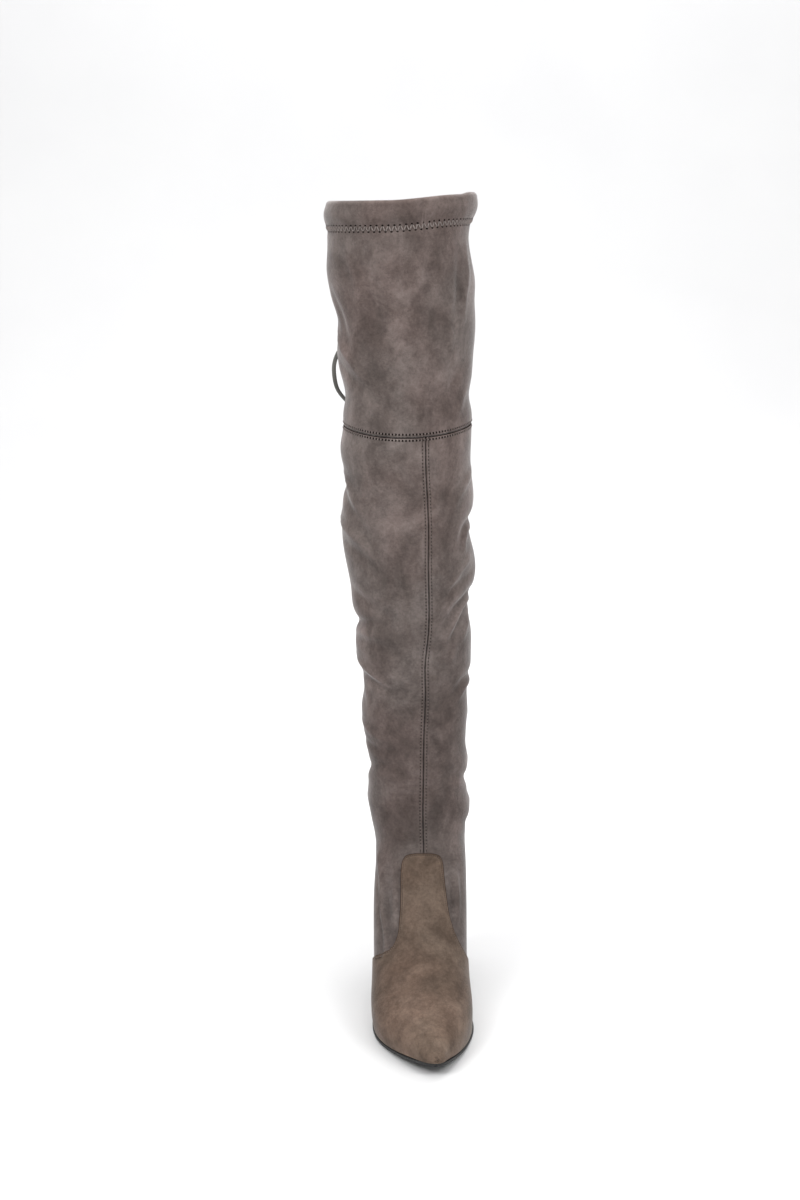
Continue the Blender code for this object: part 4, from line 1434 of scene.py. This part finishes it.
def make_tread(rubber):
    """Rows of short wavy bars on the forefoot, in a brick bond, inside a smooth margin."""
    points = []
    faces = []
    row = 0
    y = -0.190
    while y < -0.086:
        share = float(share_of(y))
        lateral, medial = (float(x) for x in sole_edges(share))
        lateral, medial = lateral + 0.0055, medial - 0.0055
        if y > TREAD_END_Y:
            bow = math.sqrt(max(0.0, 1 - ((y - TREAD_END_Y) / 0.019) ** 2))
            middle = (lateral + medial) / 2
            lateral = middle + (lateral - middle) * bow
            medial = middle + (medial - middle) * bow
        x = lateral + (BAR_PITCH / 2 if row % 2 else 0.0)
        while x + BAR_LENGTH < medial:
            start = len(points)
            for part in np.linspace(0, 1, 7):
                bar_x = x + BAR_LENGTH * part
                wave = 0.00055 * math.sin(part * 2 * math.pi)
                for dy, dz in TREAD_PROFILE:
                    spot = y + wave + dy
                    points.append((bar_x, spot, float(underside(spot)) + dz))
            faces += [tuple(start + i for i in face) for face in grid_faces(7, 4)]
            faces += [(start + 3, start + 2, start + 1, start), tuple(range(start + 24, start + 28))]
            faces += [(i, i + 4, i + 7, i + 3) for i in range(start, start + 24, 4)]
            x += BAR_PITCH
        y += 0.0027
        row += 1
    mesh = mesh_from("outsole_tread", points, faces)
    place("outsole_tread", mesh, rubber, slot="rubber")
    mesh.set_sharp_from_angle(angle=math.radians(40))


RING_PROFILE = ((0.0058, 0.0), (0.0058, -0.00012), (0.0066, -0.00012), (0.0066, 0.0))


def make_size_mark(gold):
    """The gold ring with the size number, printed on the waist."""
    y = -0.0560
    slope = math.atan2(float(underside(y + 0.002) - underside(y - 0.002)), 0.004)
    at = Vector((-0.0026, y, float(underside(y)) + 0.00035))
    points = []
    count = 72
    for i in range(count):
        angle = 2 * math.pi * i / count
        for radius, drop in RING_PROFILE:
            points.append((radius * math.cos(angle), radius * math.sin(angle), drop))
    faces = []
    for i in range(count):
        j = (i + 1) % count
        faces += [(4 * i + k, 4 * j + k, 4 * j + (k + 1) % 4, 4 * i + (k + 1) % 4) for k in range(4)]
    ring = place("size_ring", mesh_from("size_ring", points, faces), gold)
    text = bpy.data.curves.new("size_number", "FONT")
    text.body = "38"
    text.size = 0.0078
    text.align_x = "CENTER"
    text.align_y = "CENTER"
    text.extrude = 0.00007
    number = bpy.data.objects.new("size_number_curve", text)
    bpy.context.scene.collection.objects.link(number)
    graph = bpy.context.evaluated_depsgraph_get()
    mesh = bpy.data.meshes.new_from_object(number.evaluated_get(graph))
    bpy.data.objects.remove(number)
    digits = place("size_number", mesh, gold)
    for obj, flip in ((ring, 0.0), (digits, math.pi)):
        obj.location = at
        obj.rotation_euler = (slope + flip, 0, 0)


def heel_rings():
    """The heel's outline at the seat and at the floor, point for point, and where the curved
    back of both ends."""
    around = 24
    shares = np.linspace(float(share_of(BREAST_Y)), 1, around)
    lateral, medial = sole_edges(shares)
    ys = sole_y(shares)
    seat = [(float(x), float(y)) for x, y in zip(lateral, ys)]
    seat += [(float(x), float(y)) for x, y in zip(medial[-2::-1], ys[-2::-1])]
    front = np.linspace(medial[0], lateral[0], 16)[1:-1]
    seat += [(float(x), BREAST_Y) for x in front]
    tip = []
    arc = 2 * around - 1
    for i in range(arc):
        turn = math.pi * i / (arc - 1)
        x = -HEEL_TIP_HALF_W * math.copysign(abs(math.cos(turn)) ** 0.62, math.cos(turn))
        tip.append((x, -HEEL_TIP_HALF_L + 2 * HEEL_TIP_HALF_L * math.sin(turn) ** 0.80))
    for x in np.linspace(HEEL_TIP_HALF_W, -HEEL_TIP_HALF_W, 16)[1:-1]:
        tip.append((float(x), -HEEL_TIP_HALF_L + HEEL_TIP_HOLLOW * (1 - (x / HEEL_TIP_HALF_W) ** 2)))
    return seat, tip, arc


def make_heel(suede, rubber):
    seat, tip, arc = heel_rings()
    rings = []
    for part in np.linspace(0, 1, 30):
        blend = part**1.25
        ring = []
        for i, ((tip_x, tip_y), (seat_x, seat_y)) in enumerate(zip(tip, seat)):
            top = float(feather_z(seat_y)) - GAP
            x = tip_x + (seat_x - tip_x) * blend
            y = tip_y + (seat_y - tip_y) * blend
            if i >= arc:
                wide = (i - arc + 1) / (len(seat) - arc + 1)
                y += 0.0030 * math.sin(math.pi * wide) * math.sin(math.pi * part) ** 0.7
            z = HEEL_TIP_T + GAP + (top - HEEL_TIP_T - GAP) * part
            ring.append((x, y, z))
        rings.append(ring)
    block = ring_tube("heel_cover", rings, suede, "suede", 38)
    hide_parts("heel_block")
    centre = np.mean(tip, axis=0)
    rings = []
    for z, shrink in ((0.0, 0.975), (0.0005, 1.0), (HEEL_TIP_T - 0.0004, 1.0), (HEEL_TIP_T, 0.99)):
        rings.append([(*(centre + (np.array(p) - centre) * shrink), z) for p in tip])
    top_piece = ring_tube("heel_rubber", rings, rubber, "rubber", 38)
    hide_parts("heel_top_piece")


# ---- build ---------------------------------------------------------------------------------
# level along the boot: axis, from, to, then (part, level). The suede's is painted shade, darker
# towards the foot where less light falls; the nubuck's is darker in the middle of the vamp than at the
# toe and the rear
SUEDE_PAINTED_SHADE = (2, 0.0, 0.6, ((0.10, 0.78), (0.27, 0.76), (0.40, 0.83), (0.60, 0.90), (0.80, 0.97)))
NUBUCK_TONE = (1, -0.20, -0.06, ((0.10, 0.98), (0.35, 0.77), (0.62, 0.68), (0.95, 0.85)))
# dark, middle and light
SUEDE = ((0.094, 0.073, 0.066), (0.134, 0.106, 0.097), (0.182, 0.148, 0.137))
NUBUCK = ((0.108, 0.074, 0.055), (0.142, 0.099, 0.075), (0.176, 0.126, 0.097))
# shares of the leg
SEAM_END = 0.012  # the front and back seams stop this short of the knee seam
KNEE_ROW_OFF = 0.0092
KNEE_GAP_OFF = 0.0022
SHARE_PER_METRE = 3.91  # of the thigh
SEAM_STITCH = (0.0006, 0.0005, 0.50)  # width, height, part of the pitch
HEM_STITCH = (0.0009, 0.0007, 0.70)
VAMP_STITCH = (0.0005, 0.0004, 0.42)
HOLE_RADIUS = 0.00105


def build():
    make_camera()
    lace = lace_finish("grey_lace", (0.135, 0.132, 0.122))
    make_cords(lace)

    suede = napped("grey_suede", SUEDE, 30.0, (0.2, 0.1, 0.5), 0.45, SUEDE_PAINTED_SHADE)
    nubuck = napped("brown_nubuck", NUBUCK, 34.0, (0.5, 0.3, 0.1), 0.25, NUBUCK_TONE)
    rubber = rubber_finish("black_rubber", 0.022, 0.55)
    inside = lining_finish("grey_lining", (0.150, 0.124, 0.114))
    seam_thread = thread_finish("seam_thread", (0.190, 0.155, 0.141))
    light_thread = thread_finish("hem_thread", (0.225, 0.188, 0.173))
    vamp_thread = thread_finish("vamp_thread", (0.135, 0.094, 0.070))
    # near black, painted as the shade inside needle holes and seam gaps
    hole_shade = painted_shade_finish("needle_hole_shade", (0.012, 0.009, 0.008))
    # a dark finish painted as the shade along the vamp's folded edge
    edge_shade = painted_shade_finish("brown_edge_shade", (0.052, 0.036, 0.028))
    gold = gold_finish("gold_print")

    leg, leg_guide = make_leg(suede, inside)
    thigh, thigh_guide, rim = make_thigh(suede, inside)
    vamp, vamp_guide, vamp_line = make_vamp(nubuck, edge_shade)
    on_leg = (surface_of(leg), leg_guide)
    on_thigh = (surface_of(thigh), thigh_guide)
    on_vamp = (surface_of(vamp), vamp_guide)

    knee = KNEE_SHARE - SEAM_END
    front = [section(float(s), follow_seam(np.zeros(1), s))[0] for s in np.arange(0.80, knee, 0.01)]
    back = [section(float(s), [1.0])[0] for s in np.arange(1.04, knee, 0.01)]
    thigh_shares = np.arange(KNEE_SHARE + SEAM_END, 3.38, 0.01)
    back_thigh = [section(float(s), [1.0])[0] for s in thigh_shares]
    lines = [(front, on_leg), (back, on_leg), (back_thigh, on_thigh)]
    sides = (SEAM_STITCH_OFF, -SEAM_STITCH_OFF)
    seams = [straight_run(path, surface, off) for path, surface in lines for off in sides]
    around = np.linspace(-0.995, 0.995, 240)
    seams.append(straight_run(section(KNEE_SHARE - KNEE_ROW_OFF, around), on_leg, 0.0))
    seams.append(straight_run(section(KNEE_SHARE + KNEE_ROW_OFF, around), on_thigh, 0.0))
    make_stitches("seam_stitches", seams, seam_thread, *SEAM_STITCH)
    make_holes("seam_holes", seams, hole_shade, HOLE_RADIUS)
    knee_gap = section(KNEE_SHARE - KNEE_GAP_OFF, np.linspace(-0.99, 0.99, 400))
    make_seam_gap_shade([*lines, (knee_gap, on_leg)], hole_shade)
    hem = section(TOP_SHARE - HEM_DEPTH * SHARE_PER_METRE, np.linspace(-0.972, 0.972, 300))
    tilt_rim(hem)
    zigzag = zigzag_run(hem, on_thigh, 0.0026, 0.0023)
    make_stitches("hem_stitches", [zigzag], light_thread, *HEM_STITCH)
    make_holes("hem_holes", [zigzag], hole_shade, HOLE_RADIUS)
    vamp_row = straight_run(vamp_line[2:-2], on_vamp, 0.0, 0.0017)
    make_stitches("vamp_stitches", [vamp_row], vamp_thread, *VAMP_STITCH)
    make_holes("vamp_holes", [vamp_row], hole_shade, 0.00050)

    wall(leg, WALL_T, inner_slot=1)
    apply_modifiers(leg)
    wall(thigh, WALL_T * 0.9, inner_slot=1)
    cut_back_notch(thigh, rim)
    wall(vamp, 0.0010)
    apply_modifiers(vamp)

    make_outsole(rubber)
    make_tread(rubber)
    make_heel(suede, rubber)
    make_size_mark(gold)
    footbed = frame["nodes"]["insole"]
    footbed.data.materials.clear()
    footbed.data.materials.append(inside)
    make_stage()
    make_lights()


build()
